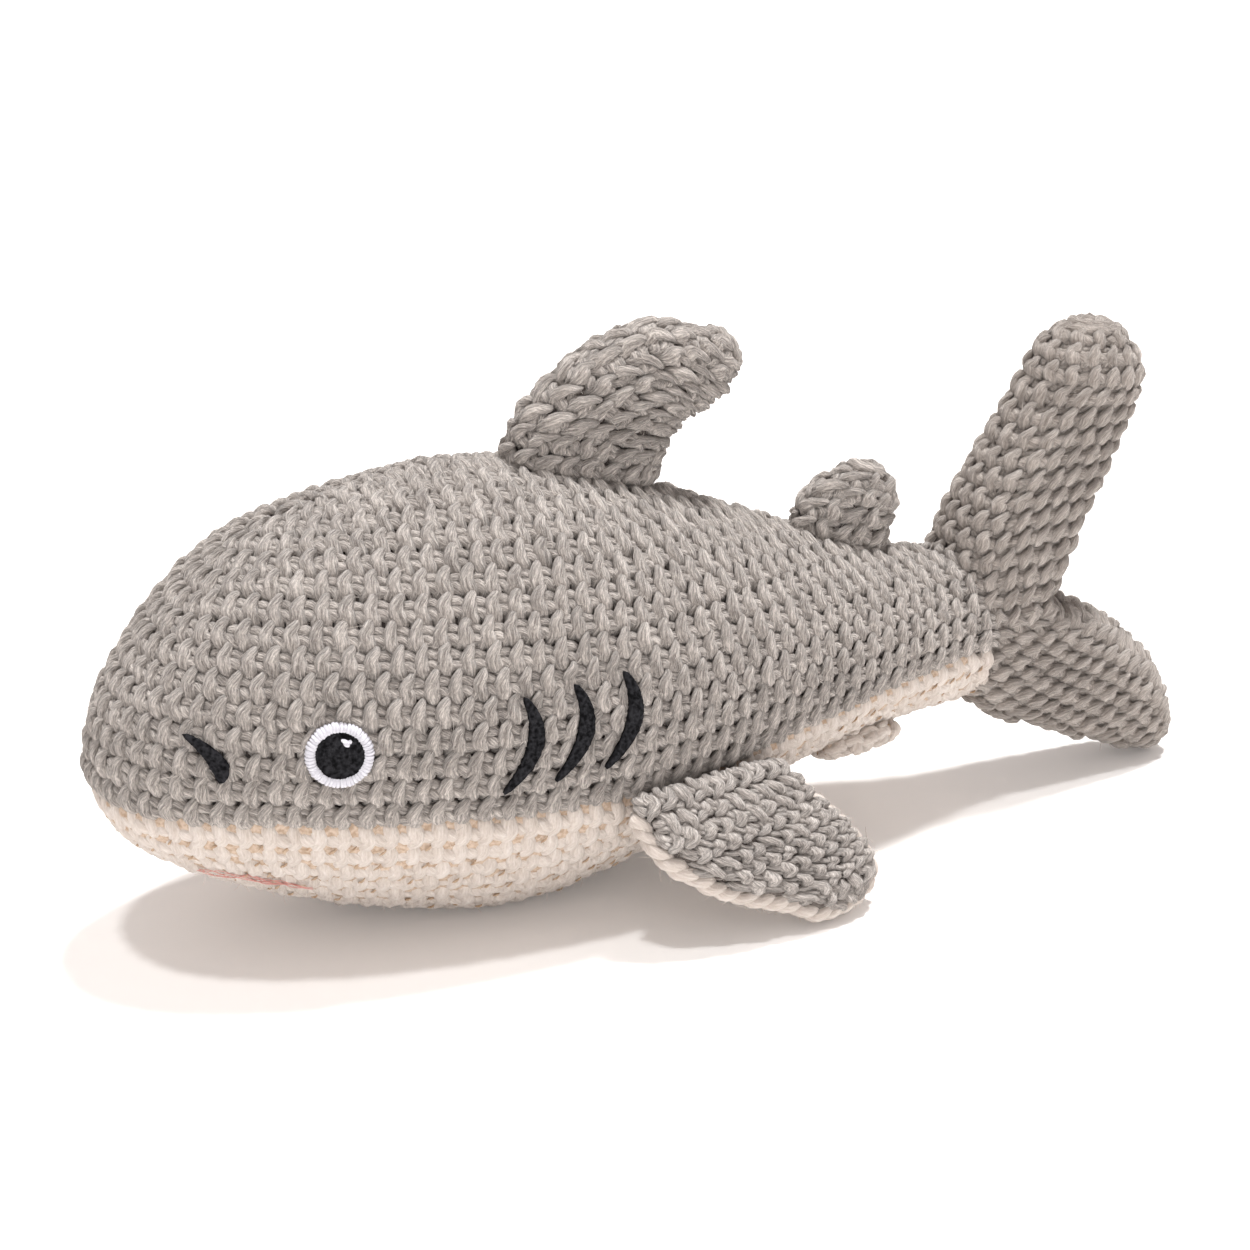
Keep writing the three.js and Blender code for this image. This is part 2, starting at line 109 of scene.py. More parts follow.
TAIL_UPPER_LOBE = {
    "ribs": [
        ((88.8, 62.2), (121, 62.2), 34),
        ((91.5, 84), (132, 85), 31),
        ((104, 110), (146.5, 110), 28),
        ((118.5, 133), (156, 127.5), 24),
    ],
    "tip": 18,
    "roundness": [5, 4, 2.7, 2.5],
    "rows": (6.5, STITCH, -4.0),
    "bend": TAIL_BEND,
}
TAIL_LOWER_LOBE = {
    "ribs": [
        ((121, 61.8), (88.8, 61.8), 34),
        ((139, 55.5), (97, 33), 31),
        ((156.5, 44), (124, 18.5), 27),
        ((170, 29.5), (149.5, 8), 23),
        ((175, 17.5), (163, 3), 18),
    ],
    "tip": 7,
    "roundness": [5, 4, 2.8, 2.5, 2.5],
    "rows": (6.2, 6.6, -4.0),
    "bend": TAIL_BEND,
}
PECTORAL_FIN = {
    "ribs": [
        ((-24.5, 0), (30, 0), 11),
        ((-19, 14), (38, 10), 12),
        ((-3, 27), (46, 21), 11.5),
        ((20, 37.5), (49.5, 31), 10),
    ],
    "tip": 6.5,
    "root": (-20.5, 53, 39.8),
    "along": (0.973, -0.228, -0.03),
    "outward": (0.103, 0.548, -0.83),
    "rows": (5.8, 5.6, -4.0),
    "under_rows": (6.5, 6.4, -4.0),
    "bend": [(3, 0, -3), (3, 0, 9)],
}
PELVIC_FIN = {
    "ribs": [
        ((-7, 0), (8, 0), 7),
        ((-8, 8), (9, 8), 8),
        ((-7, 16), (8, 16), 7),
    ],
    "tip": 6,
    "root": (40.0, 16.9, 31.0),
    "along": (0, 0.91, 0.42),
    "outward": (0.99, 0, 0.06),
    "rows": (5.4, 5.6, -3.0),
    "bend": [(0, 0, -1), (0, 0, 5)],
}
CORE_SHARE = 0.88  # size of a fin's stuffed core, as a share of the fin's section
EYE_HEIGHT = 0.9  # heights of the eye and of the felt over the stuffed form
RING_FOOT = 0.3
RING_RISE = 1.5
RING_INSIDE = 0.1  # how far the ring reaches over the disc, and stays inside its CAD box
RING_CLEARANCE = 0.7
DISC_GROW = 0.4
DISC_LOW = 0.2
DISC_RISE = 0.5
DISC_SHARES = np.array([1.0, 1.02, 0.98, 0.9, 0.7, 0.45, 0.2])  # from its edge to its middle
DISC_HEIGHTS = np.array([0.0, 0.5, 0.85, 0.97, 1.0, 1.02, 1.03])
KNOT_RISE = 0.9
THREADS = 52
THREAD_RADIUS = 0.58
FELT_HEIGHT = 1.6
FELT_RISE = 0.6
FELT_SUNK = 0.9
CRESCENT_SIDES = 14
CRESCENT_POINT = 0.15  # half the width of the felt at its pointed ends
PRESSED_HEIGHT = 0.0  # height of the stitches under the eye and the felt
PRESSED_SLOPE = 1.1
PRESSED_REACH = 16.0
EYE_MARK_RING = 0.55  # shares of the eye's radius: the circle of marks, and the size of each
EYE_MARK = 0.5
FELT_MARK = 2.64
HAIR_RADIUS = 0.07
HAIR_STAND = 0.45  # how far a hair starts outwards, how far to any side, and how it curls
HAIR_DRIFT = 0.7
HAIR_CURL = 0.35
HAIR_SHARES = (0.4, 1.3)  # the shortest and the longest, as shares of the length
HAIR_CLEARANCE = 1.8  # no hair has its root nearer the ground than this share of its length
GILL_WIDTH = 4.8
GILL_BOW = 5.8
GILL_LEAN = 3.5
NOSTRIL_WIDTH = 4.6
NOSTRIL_BOW = 2.8
NOSTRIL_TOP = 0.8  # how far the nostril's ends lie inside its box
NOSTRIL_LOW = 3.2
SHINE_KNOTS = [(-0.1, 0.3, 1.3), (0.2, -0.5, 1.0), (1.1, 0.1, 0.6)]
MOUTH_STRANDS = 7  # on each side
MOUTH_POINTS = 60
MOUTH_RADII = (0.09, 0.15)
MOUTH_HEIGHT = 0.9
MOUTH_WEAVE = 0.4  # how far the strands rise and sink, and how far they lie apart
MOUTH_SPREAD = 1.3
MOUTH_WAVES = (24, 9, 30)  # two waves up and down, and one in and out
MOUTH_SHORTER = 0.25  # how much shorter than the mouth a strand may be at either end
MOUTH_FALL = 1.2
MOUTH_START = 0.36  # the stitching begins this share of the way round from the nose
MOUTH_PLACES = [0, 0.25, 0.5, 0.75, 1]
MOUTH_BACK = [0, 0.12, 0.4, 0.72, 1]  # shares of the mouth's reach towards the tail
MOUTH_OUT = [0, 0.5, 0.78, 0.93, 1]  # shares of its half width
FIN_ROUNDNESS = 2.5  # 2 makes a fin's section an ellipse, more makes it squarer

COIL_REACH = 6.5  # the yarn wound over a fin's tip: its reach, or its share of a wide fin
COIL_SHARE = 0.55
COIL_PITCH = 3.1
COIL_RADIUS = 1.9
COIL_LOOP = 4.2
COIL_WIDEST = 0.8  # the most of the section that it takes up, and how far it closes
COIL_CLOSING = 0.92
COIL_PLACES = [0, 0.15, 0.8, 1]  # shares of its length, and its heights over the tip there
COIL_HEIGHTS = [-1.6, 0.1, 0.3, -0.7]
CORD_RADIUS = 1.9  # the two strands round a pectoral fin's edge
CORD_OFFSET = 1.1
CORD_TURNS = 13
CORD_LUMPS = 48
CORD_UNEVEN = 0.12
RIM_TURN = 0.15
TOP_ARC = (math.pi + 0.3, 2 * math.pi - 0.3)  # the outer face of a side fin's section
UNDER_ARC = (0.2, math.pi - 0.2)
TOP_END = 0.85  # how far the top's rows reach over the tip
PECTORAL_CORE = 0.92
PELVIC_CORE = 0.85
TWIST = 0.15  # turn of a strand's fibres, in radians per millimetre
FLATTER = 0.7  # points stray less in height than along the form
UNEVEN = 0.07  # spread of the strands' thickness
YARN_RUN = 50  # strands begin at different places along the yarn, up to this one
PLY_WEIGHT = 0.4  # how far the twisted plies show, against the fine fibres
PLY_SCALE = (2.4, 2.4, 0.15)  # both are drawn out along the yarn
FIBRE_SCALE = (5.0, 5.0, 0.5)
SHADE_WEIGHT = 0.05  # how far one stitch is lighter or darker than the next
TONE_SPREAD = 0.3
YARN_BUMP = 0.0016  # in metres
GROUND_BUMP = 0.001
VARIANTS = 8  # versions of each stitch
GROUND_DEPTH = 1.9  # the ground between the strands, darkened as painted shade, lies this far under the form
BELLY_DEPTH = 0.35  # the cream stitches stand less proud of what lies under them
SMALLEST_STITCH = 1.8
BACK_LIFT = -1.5  # heights of the middle of the stitches over each form
BELLY_LIFT = -2.1
FIN_LIFT = -1.4
TOP_LIFT = -1.2
UNDER_LIFT = -1.6
GAP_SHADE_LIFT = 0.15
GAP_SHADE_LOWEST = -0.8  # no painted gap shade where the belly faces down more than this
GAP_SHADE_SHARE = 0.45  # share of the cream stitches with painted gap shade beside them
SEAM_OVERLAP = 1.2  # the cream ground reaches this far up behind the first grey row
BODY_END = 1.03  # the rows end at this share of the body's length
RIDGE = 3.0  # the rows end this far from the middle of the back
BELLY_RIDGE = 2.5
BELLY_DROP = 1.5  # the cream rows begin this far under the seam
FRONT_END = -58.3  # the front pieces of the back end here
RIDGE_END = 92.0
RIDGE_GUESS = 120.0  # a height near the back, to begin from
BACK_HAIRS = 20000
BELLY_HAIRS = 6000
FIN_HAIRS = 3000
SIDE_FIN_HAIRS = 1200
HAIR_LENGTH = 2.4
BELLY_HAIR_LENGTH = 3.0
CLEAR_OF_MARKS = 2.5

BODY = "body"

# Colours as 0 to 255: of a yarn's hollows, darker in part as painted shade, its middle tone and its
# lightest fibres, and of the darker and the lighter fibres of felt and of what lies under the
# stitches.
# What lies under the stitches, and the marks in the belly's gaps, are darker than the yarn as painted
# shade.
YARN_COLOURS = {
    "grey_yarn": [(122, 114, 108), (179, 170, 163), (234, 225, 217)],
    # a lighter copy of the grey yarn: painted light on the pectoral fins' tops
    "grey_yarn_painted_lit": [(130, 122, 116), (190, 181, 174), (241, 233, 226)],
    # a darker copy of the grey yarn with softer contrast: painted shade on the tail
    "grey_yarn_shaded_soft": [(122, 113, 106), (173, 163, 155), (222, 213, 205)],
    "cream_yarn": [(184, 171, 160), (210, 199, 190), (232, 224, 217)],
    "white_thread": [(188, 186, 196), (218, 217, 225), (242, 242, 247)],
    "red_thread": [(206, 132, 124), (222, 156, 147), (236, 182, 172)],
}
SHADE_AND_FELT_COLOURS = {
    "grey_shade_ground": [(84, 78, 74), (116, 109, 104)],
    "cream_shade_ground": [(166, 144, 124), (200, 181, 164)],
    "cream_gap_shade": [(160, 134, 110), (192, 170, 148)],
    "black_felt": [(8, 8, 10), (44, 44, 47)],
}
FLOOR_COLOUR = (250, 248, 246)


# ---- Curves and forms


def unit(vectors):
    """The same vectors, each one long."""
    return vectors / np.linalg.norm(vectors, axis=-1, keepdims=True)


def smooth_value(values, at, places=STATIONS):
    """A smooth curve through values at rising places, read at any places."""
    places = np.asarray(places, float)
    values = np.asarray(values, float)
    slopes = np.empty_like(values)
    slopes[0] = (values[1] - values[0]) / (places[1] - places[0])
    slopes[-1] = (values[-1] - values[-2]) / (places[-1] - places[-2])
    if len(values) > 2:
        rise = values[2:] - values[:-2]
        slopes[1:-1] = (rise.T / (places[2:] - places[:-2])).T
    at = np.clip(at, places[0], places[-1])
    i = np.clip(np.searchsorted(places, at, side="right") - 1, 0, len(places) - 2)
    span = places[i + 1] - places[i]
    s = (at - places[i]) / span
    if values.ndim > 1:
        s = s[..., None]
        span = span[..., None]
    start = (1 + 2 * s) * (1 - s) ** 2 * values[i] + s * (1 - s) ** 2 * span * slopes[i]
    end = s * s * (3 - 2 * s) * values[i + 1] + s * s * (s - 1) * span * slopes[i + 1]
    return start + end


def body_profile(station):
    """Back height, belly height, half width and widest height at shares of the length."""
    back = smooth_value(BACK_HEIGHT, station)
    belly = smooth_value(BELLY_HEIGHT, station)
    width = smooth_value(HALF_WIDTH, station)
    return back, belly, width, belly + WIDEST_SHARE * (back - belly)


def body_station(points):
    """The share of the body's length that each point lies at."""
    station = (points[:, 0] - NOSE_X) / BODY_LENGTH
    for _ in range(3):
        middle = body_profile(station)[3]
        lean = TAIL_LEAN * (points[:, 2] - middle) * np.clip(station, 0, 1.1) ** 4
        station = (points[:, 0] + lean - NOSE_X) / BODY_LENGTH
    return station


def body_level(points):
    """Zero on the body's surface, below zero inside and above zero outside."""
    station = body_station(points)
    back, belly, width, middle = body_profile(station)
    above = points[:, 2] - middle
    half = np.where(above > 0, back - middle, middle - belly)
    ring = np.sqrt((points[:, 1] / width) ** 2 + (above / half) ** 2)
    front = np.maximum(1 - station / NOSE_SHARE, 0)
    return ring**NOSE_FULLNESS + front**NOSE_FULLNESS - 1


def body_slope(points):
    """The direction in which the level rises fastest, which is outwards."""
    step = 0.02
    sides = [body_level(points + move) - body_level(points - move) for move in step * np.eye(3)]
    return np.stack(sides, 1) / (2 * step)


def onto_body(points, height=0.0):
    """Each point moved to the body's surface, or to a height over it."""
    for _ in range(4):
        slope = body_slope(points)
        points = points - (body_level(points) / (slope**2).sum(1))[:, None] * slope
    if np.any(height):
        points = points + unit(body_slope(points)) * np.reshape(height, (-1, 1))
    return points


def lengths_along(line):
    steps = np.linalg.norm(np.diff(line, axis=0), axis=1)
    return np.concatenate([[0], np.cumsum(steps)])


def read_line(line, lengths, at):
    return np.stack([np.interp(at, lengths, line[:, k]) for k in range(line.shape[1])], 1)


def evenly(line, step):
    lengths = lengths_along(line)
    count = max(int(round(lengths[-1] / step)), 1)
    return read_line(line, lengths, np.linspace(0, lengths[-1], count + 1))


def nose_cap(station):
    """How far the body has grown to its full section, from 0 at the nose to 1."""
    front = np.maximum(1 - station / NOSE_SHARE, 0)
    return (1 - front**NOSE_FULLNESS) ** (1 / NOSE_FULLNESS)


def seam_line():
    """The seam between back and belly, from the tail on the right round the nose to the left."""
    share = np.linspace(0, 1, 160) ** 2
    station = 0.0003 + 1.06 * share
    back, belly, width, middle = body_profile(station)
    seam = smooth_value(SEAM_HEIGHT, station)
    cap = nose_cap(station)
    fall = (seam - middle) / (middle - belly)
    inside = cap**2 > fall**2
    half = width * np.sqrt(np.maximum(cap**2 - fall**2, 0))
    lean = TAIL_LEAN * (seam - middle) * station**4
    side = np.stack([NOSE_X + station * BODY_LENGTH - lean, half, seam], 1)[inside]
    line = np.concatenate([side[::-1], side * (1, -1, 1)])
    return evenly(onto_body(line), 1.5)


def row_height(points):
    """The height of a row of the body at some points."""
    share = np.clip(points[:, 0] / TAIL_ROW_X, 0, 1)
    return (ROW + (TAIL_ROW - ROW) * share)[:, None]


def lengthened(line, by=16.0):
    """The line carried on over the body at both of its ends."""
    steps = np.arange(1, 9)[:, None] * by / 8
    start = line[0] + unit(line[0] - line[3]) * steps[::-1]
    end = line[-1] + unit(line[-1] - line[-4]) * steps
    return onto_body(np.concatenate([start, line, end]))


def leg(line, side, tail_end, ridge):
    """One side of a row, from the nose back to where it meets the ridge or the tail's end."""
    crossed = np.flatnonzero(side * line[:12, 1] <= TINY)
    line = line[crossed[-1] + 1 :] if len(crossed) else line
    clear = side * line[:, 1] > ridge
    if not clear.any():
        return line[:0]
    first = int(np.argmax(clear))
    ends = np.flatnonzero(~clear[first:] | (body_station(line) > tail_end)[first:])
    last = first + ends[0] if len(ends) else len(line)
    return line[:last]


def within_body(line, tail_end, ridge, first_side):
    """The part of a row round the nose that stays clear of the ridge and of the tail's end."""
    nose = len(line) // 2
    one = leg(line[nose::-1], first_side, tail_end, ridge)
    other = leg(line[nose:], -first_side, tail_end, ridge)
    return np.concatenate([one[::-1], other])


def body_rows(line, tail_end, ridge):
    """Rows of crochet over the body: each lies one row height beyond the row before it."""
    rows = []
    first_side = np.sign(line[len(line) // 4, 1])
    line = within_body(lengthened(line), tail_end, ridge, first_side)
    while len(line) > 4 * ridge:
        line = evenly(line, 1.5)
        along = unit(np.gradient(line, axis=0))
        out = unit(body_slope(line))
        above = onto_body(line + np.cross(out, along) * row_height(line))
        rows.append((line, above))
        line = within_body(lengthened(above), tail_end, ridge, first_side)
    return rows


def stitched(line, above, width, phase, closed=False):
    """A row cut into stitches: the points between them, along its foot and along its top."""
    lengths = lengths_along(line)
    count = max(int(round(lengths[-1] / width)), 3 if closed else 1)
    at = (np.arange(count + 1) + phase) * lengths[-1] / count
    if closed:
        foot = read_line(line, lengths, at % lengths[-1])
        top = read_line(above, lengths, at % lengths[-1])
    else:
        at = np.clip(at, 0, lengths[-1])
        foot = read_line(line, lengths, at)
        top = read_line(above, lengths, at)
    return foot, top, closed


def fin_points(fin, place, angle):
    """Points of a fin's form. Past the last rib, place runs over the rounded tip."""
    fronts = np.array([rib[0] for rib in fin["ribs"]], float)
    rears = np.array([rib[1] for rib in fin["ribs"]], float)
    thicknesses = np.array([rib[2] for rib in fin["ribs"]], float)
    places = np.arange(len(thicknesses))
    last = places[-1]
    turn = np.clip(place - last, 0, 1) * math.pi / 2
    front = smooth_value(fronts, place, places)
    rear = smooth_value(rears, place, places)
    chord = rear - front
    width = np.linalg.norm(chord, axis=-1)
    along = chord / width[..., None]
    outward = np.stack([-along[..., 1], along[..., 0]], -1)
    middle = (front + rear) / 2 + outward * (fin["tip"] * np.sin(turn))[..., None]
    middle = middle + outward * np.minimum(place, 0)[..., None]
    grow = np.cos(turn)
    thickness = np.minimum(smooth_value(thicknesses, place, places), width) * grow
    roundness = smooth_value(fin.get("roundness", [FIN_ROUNDNESS] * len(places)), place, places)
    power = 2 / roundness
    a = np.sign(np.cos(angle)) * np.abs(np.cos(angle)) ** power * width / 2 * grow
    b = np.sign(np.sin(angle)) * np.abs(np.sin(angle)) ** power * thickness / 2
    flat = middle + along * a[..., None]
    return np.stack([flat[..., 0], b, flat[..., 1]], -1)


def along_fin(fin, root, tip, inside, outside):
    """Places along a fin: some from inside its root to the body, and some out to its tip."""
    last = len(fin["ribs"]) - 1
    inner = np.linspace(root, 0, inside)[:-1]
    return np.concatenate([inner, np.linspace(0, last + tip, outside)])


def fin_grid(fin, places, start=0.0, end=2 * math.pi, count=96):
    angle = np.linspace(start, end, count + 1)
    angle = np.broadcast_to(angle, (len(places), count + 1))
    return fin_points(fin, np.repeat(places[:, None], count + 1, 1), angle)


def outward_row(foot, top, outward):
    """The row's two lines, turned round if the row would face the other way than outward."""
    facing = np.cross(np.gradient(foot, axis=0), top - foot)
    if (facing * outward).sum() < 0:
        return foot[::-1], top[::-1]
    return foot, top


def fin_rows(fin, row, width, root, arc=None, tip=0.96):
    """Rows of crochet over a fin, from a distance inside its root to its tip.

    They go right round it, or over the part of its section between the two angles of arc.
    """
    places = along_fin(fin, root, tip, 12, 160)
    grid = fin_grid(fin, places)
    steps = np.linalg.norm(np.diff(grid, axis=0), axis=2).mean(1)
    travelled = np.concatenate([[0], np.cumsum(steps)])
    count = max(int(round(travelled[-1] / row)), 2)
    at = np.interp(np.linspace(0, travelled[-1], count + 1), travelled, places)
    middles = fin_grid(fin, at).mean(1)
    loops = fin_grid(fin, at, *arc) if arc else fin_grid(fin, at)
    rows = []
    for k in range(count):
        foot, top = outward_row(loops[k], loops[k + 1], loops[k] - middles[k])
        share = lengths_along((foot + top) / 2)[-1] / lengths_along(foot)[-1]
        rows.append(stitched(foot, top, width / max(share, 0.3), 0.5 * (k % 2), arc is None))
    return rows


def level_line(fin, places, spans, roundness, level):
    """A line along a fin at one distance from its middle, out on one face and back on the other."""
    share = np.clip(2 * level / spans, -1, 1)
    angle = np.arccos(np.sign(share) * np.abs(share) ** (roundness / 2))
    out = fin_points(fin, places, angle)
    back = fin_points(fin, places, -angle)
    return np.concatenate([out, back[::-1]])


def level_rows(fin, row, width, root):
    """Rows of crochet along a fin's length, one above the other, from its rear edge to its front."""
    places = along_fin(fin, root, 0.999, 6, 240)
    edges = [fin_points(fin, places, np.full(len(places), turn)) for turn in (0.0, math.pi)]
    spans = np.linalg.norm(edges[0] - edges[1], axis=1)
    roundness = smooth_value(fin["roundness"], places, np.arange(len(fin["ribs"])))
    widest = int(np.argmax(spans))
    angles = np.linspace(0, math.pi, 200)
    travelled = lengths_along(fin_points(fin, np.full(200, places[widest]), angles))
    count = int(round(travelled[-1] / row))
    cosines = np.cos(np.interp(np.linspace(0, travelled[-1], count + 1), travelled, angles))
    reach = np.sign(cosines) * np.abs(cosines) ** (2 / roundness[widest])
    levels = reach * spans[widest] / 2
    rows = []
    for k in range(count):
        nearest = 0.0 if levels[k] * levels[k + 1] < 0 else min(abs(levels[k]), abs(levels[k + 1]))
        there = spans > 2 * nearest
        if there.sum() < 20:
            continue
        foot, top = (
            level_line(fin, places[there], spans[there], roundness[there], level)
            for level in (levels[k], levels[k + 1])
        )
        foot, top = outward_row(foot, top, (foot + top) * (0, 1, 0))
        rows.append(stitched(foot, top, width, 0.5 * (k % 2)))
    return rows


def edge_row(fin, row, width, root):
    """One row of crochet along a fin's front edge, over the ends of the rows on its two faces."""
    places = along_fin(fin, root, 0.9, 6, 120)
    faces = [fin_points(fin, places, np.full(len(places), turn * math.pi)) for turn in (-0.5, 0.5)]
    thickness = np.linalg.norm(faces[1] - faces[0], axis=1)
    roundness = smooth_value(fin["roundness"], places, np.arange(len(fin["ribs"])))
    angle = np.arcsin(np.clip(row / thickness, 0, 0.95) ** (roundness / 2))
    foot = fin_points(fin, places, math.pi - angle)
    top = fin_points(fin, places, math.pi + angle)
    foot, top = outward_row(foot, top, foot - (faces[0] + faces[1]) / 2)
    return stitched(foot, top, width, 0.0)


def side_fin_place(points, fin, side):
    """Points of a side fin moved from its own space to the left (-1) or the right (1) side."""
    along = unit(np.array(fin["along"], float))
    outward = np.array(fin["outward"], float)
    outward = unit(outward - along * (outward @ along))
    across = np.cross(outward, along)
    placed = np.array(fin["root"]) + points @ np.stack([along, across, outward])
    return np.maximum(placed * (1, side, 1), (-np.inf, -np.inf, 0.3))


def side_fin_rows(rows, fin, side):
    """Rows of a side fin on one side. A mirrored row runs the other way, to face outwards."""
    placed = []
    for foot, top, closed in rows:
        foot = side_fin_place(foot, fin, side)[::side]
        top = side_fin_place(top, fin, side)[::side]
        placed.append((foot, top, closed))
    return placed


# ---- Strands of yarn


def rings_round(line, side, out, radii, sides, start):
    """Rings of vertices round a line: their places, and where on the yarn they lie."""
    angle = np.arange(sides) * 2 * math.pi / sides
    ring = np.cos(angle)[:, None] * side[:, None] + np.sin(angle)[:, None] * out[:, None]
    vertices = line[:, None] + ring * np.reshape(radii, (-1, 1, 1))
    run = lengths_along(line)[:, None] + start
    turned = angle + TWIST * run
    yarn = np.stack([np.cos(turned), np.sin(turned), np.repeat(run, sides, 1)], -1)
    return vertices.reshape(-1, 3), yarn.reshape(-1, 3)


def tube(points, radii, sides, segments, flat=0.85):
    """The rings of a strand that is smooth through some points."""
    places = np.arange(len(points))
    at = np.linspace(0, places[-1], segments + 1)
    line = smooth_value(np.array(points, float), at, places)
    radius = smooth_value(np.array(radii, float), at, places)
    along = unit(np.gradient(line, axis=0))
    side = unit(np.cross(along, (0, 0, 1)) + 1e-9)
    out = np.cross(side, along)
    return rings_round(line, side, out * flat, radius, sides, 0.0)


def tube_walls(sides, segments):
    """Four-cornered faces between the rings of a tube."""
    faces = []
    for i in range(segments):
        for j in range(sides):
            k = (j + 1) % sides
            a = i * sides
            b = a + sides
            faces.append((a + j, b + j, b + k, a + k))
    return np.array(faces)


def tube_faces(sides, segments):
    """The faces of a tube with both ends closed."""
    faces = list(tube_walls(sides, segments))
    last = segments * sides
    for j in range(1, sides - 2, 2):
        faces.append((0, j, j + 1, j + 2))
        faces.append((last, last + j + 2, last + j + 1, last + j))
    return np.array(faces)


# A stitch, as strands of yarn. Each point is a place along the row, a place up the row, a height
# and a radius, in millimetres from the middle of the stitch.


def strand(sides, segments, *points):
    """A strand of a stitch, smooth through its points."""
    return {"sides": sides, "segments": segments, "points": np.array(points)}


STEM = strand(
    8, 10,
    (1.6, -4.4, -1.6, 1.6), (1.0, -3.0, 0.4, 2.1), (0.1, -1.3, 1.4, 2.35), (-0.4, 0.4, 1.9, 2.15),
    (0.1, 2.2, 2.2, 1.7), (0.9, 3.8, 2.1, 1.25), (1.5, 4.9, 1.0, 0.6),
)
LEG = strand(
    8, 5,
    (-0.1, 1.1, 1.1, 1.1), (-1.0, -0.8, 1.2, 1.6), (-1.8, -2.6, 0.4, 1.6), (-2.1, -4.1, -1.3, 1.2),
)
UPPER_BAR = strand(
    6, 5,
    (0.3, 1.1, 0.4, 1.1), (2.0, 1.8, 0.8, 1.6), (3.8, 1.6, 0.7, 1.6), (5.6, 0.9, 0.1, 1.1),
)
LOWER_BAR = strand(
    6, 5,
    (0.8, -0.5, 0.5, 1.3), (2.4, -0.7, 1.0, 1.8), (4.0, -1.4, 0.8, 1.8), (5.4, -2.5, -0.2, 1.3),
)
CROCHET = [STEM, LEG, UPPER_BAR, LOWER_BAR]

# On the tail the rows read as level bands, with the tip of each stitch standing over its band.
TIP = strand(
    8, 10,
    (1.3, -3.9, -0.8, 1.6), (0.7, -2.6, 0.9, 2.1), (0.0, -1.0, 1.8, 2.3), (-0.2, 0.6, 2.3, 2.1),
    (0.3, 2.2, 2.4, 1.7), (0.8, 3.4, 2.1, 1.2), (1.1, 4.2, 1.1, 0.6),
)
BAND = strand(
    8, 5,
    (-4.2, -0.9, 0.2, 2.0), (-1.5, -0.5, 0.6, 2.3), (1.5, -0.5, 0.6, 2.3), (4.2, -0.9, 0.2, 2.0),
)
UNDER_BAND = strand(
    6, 4,
    (-3.8, 2.5, -0.5, 1.5), (-1.2, 2.7, -0.1, 1.7), (1.2, 2.7, -0.1, 1.7), (3.8, 2.5, -0.5, 1.5),
)
BANDED_CROCHET = [TIP, LEG, BAND, UNDER_BAND]

# The cream yarn is thicker and softer, so its stitches close up to a nearly smooth face.
SOFT_STEM = strand(
    8, 8,
    (1.2, -4.3, -0.6, 2.1), (0.6, -2.2, 0.5, 2.6), (-0.3, 0.4, 0.8, 2.7), (0.6, 2.9, 0.8, 2.2),
    (1.3, 4.3, 0.1, 1.2),
)
SOFT_BAR = strand(
    8, 5,
    (0.6, 0.9, 0.1, 2.0), (2.2, 0.7, 0.4, 2.6), (3.9, 0.0, 0.4, 2.7), (5.4, -0.9, 0.0, 2.1),
)
SOFT_CROCHET = [SOFT_STEM, SOFT_BAR]

# A small brown mark between two cream stitches: painted shade in the gap there.
GAP_SHADE_MARK = strand(
    6, 4,
    (2.1, 2.2, 0.0, 0.15), (2.6, 3.0, 0.25, 0.38), (3.1, 3.8, 0.25, 0.34), (3.5, 4.4, 0.0, 0.12),
)


def stitch_kinds(strands, loose, thick=1.0, turn=0.0):
    """Several versions of a stitch, no two alike: vertices, yarn places, and shared faces."""
    kinds = []
    yarns = []
    for _ in range(VARIANTS):
        parts = []
        yarn_parts = []
        lean = random.normal(0, turn) if turn else 0.0
        for one in strands:
            points = one["points"][:, :3]
            points = points + random.normal(0, loose, points.shape) * (1, 1, FLATTER)
            x = points[:, 0] * math.cos(lean) - points[:, 1] * math.sin(lean)
            y = points[:, 0] * math.sin(lean) + points[:, 1] * math.cos(lean)
            points = np.stack([x, y, points[:, 2]], 1)
            radii = one["points"][:, 3] * thick * random.normal(1, UNEVEN)
            vertices, yarn = tube(points, radii, one["sides"], one["segments"])
            yarn[:, 2] += random.uniform(0, YARN_RUN)
            parts.append(vertices)
            yarn_parts.append(yarn)
        kinds.append(np.concatenate(parts))
        yarns.append(np.concatenate(yarn_parts))
    faces = []
    start = 0
    for one in strands:
        faces.append(tube_faces(one["sides"], one["segments"]) + start)
        start += (one["segments"] + 1) * one["sides"]
    return np.array(kinds), np.array(yarns), np.concatenate(faces)


def row_normals(line, rise, closed):
    along = np.gradient(line, axis=0)
    if closed:
        along[0] = along[-1] = line[1] - line[-2]
    across = np.cross(along, rise)
    size = np.linalg.norm(across, axis=1, keepdims=True)
    return np.where(size > TINY, across / np.maximum(size, TINY), np.nan)


def patches(rows):
    """The four corners of every stitch of some rows, and the outward direction at each."""
    corners = []
    normals = []
    for foot, top, closed in rows:
        rise = top - foot
        low = row_normals(foot, rise, closed)
        high = row_normals(top, rise, closed)
        high = np.where(np.isfinite(high), high, low)
        corners.append(np.stack([foot[:-1], foot[1:], top[:-1], top[1:]], 1))
        normals.append(np.stack([low[:-1], low[1:], high[:-1], high[1:]], 1))
    return np.concatenate(corners), np.concatenate(normals)


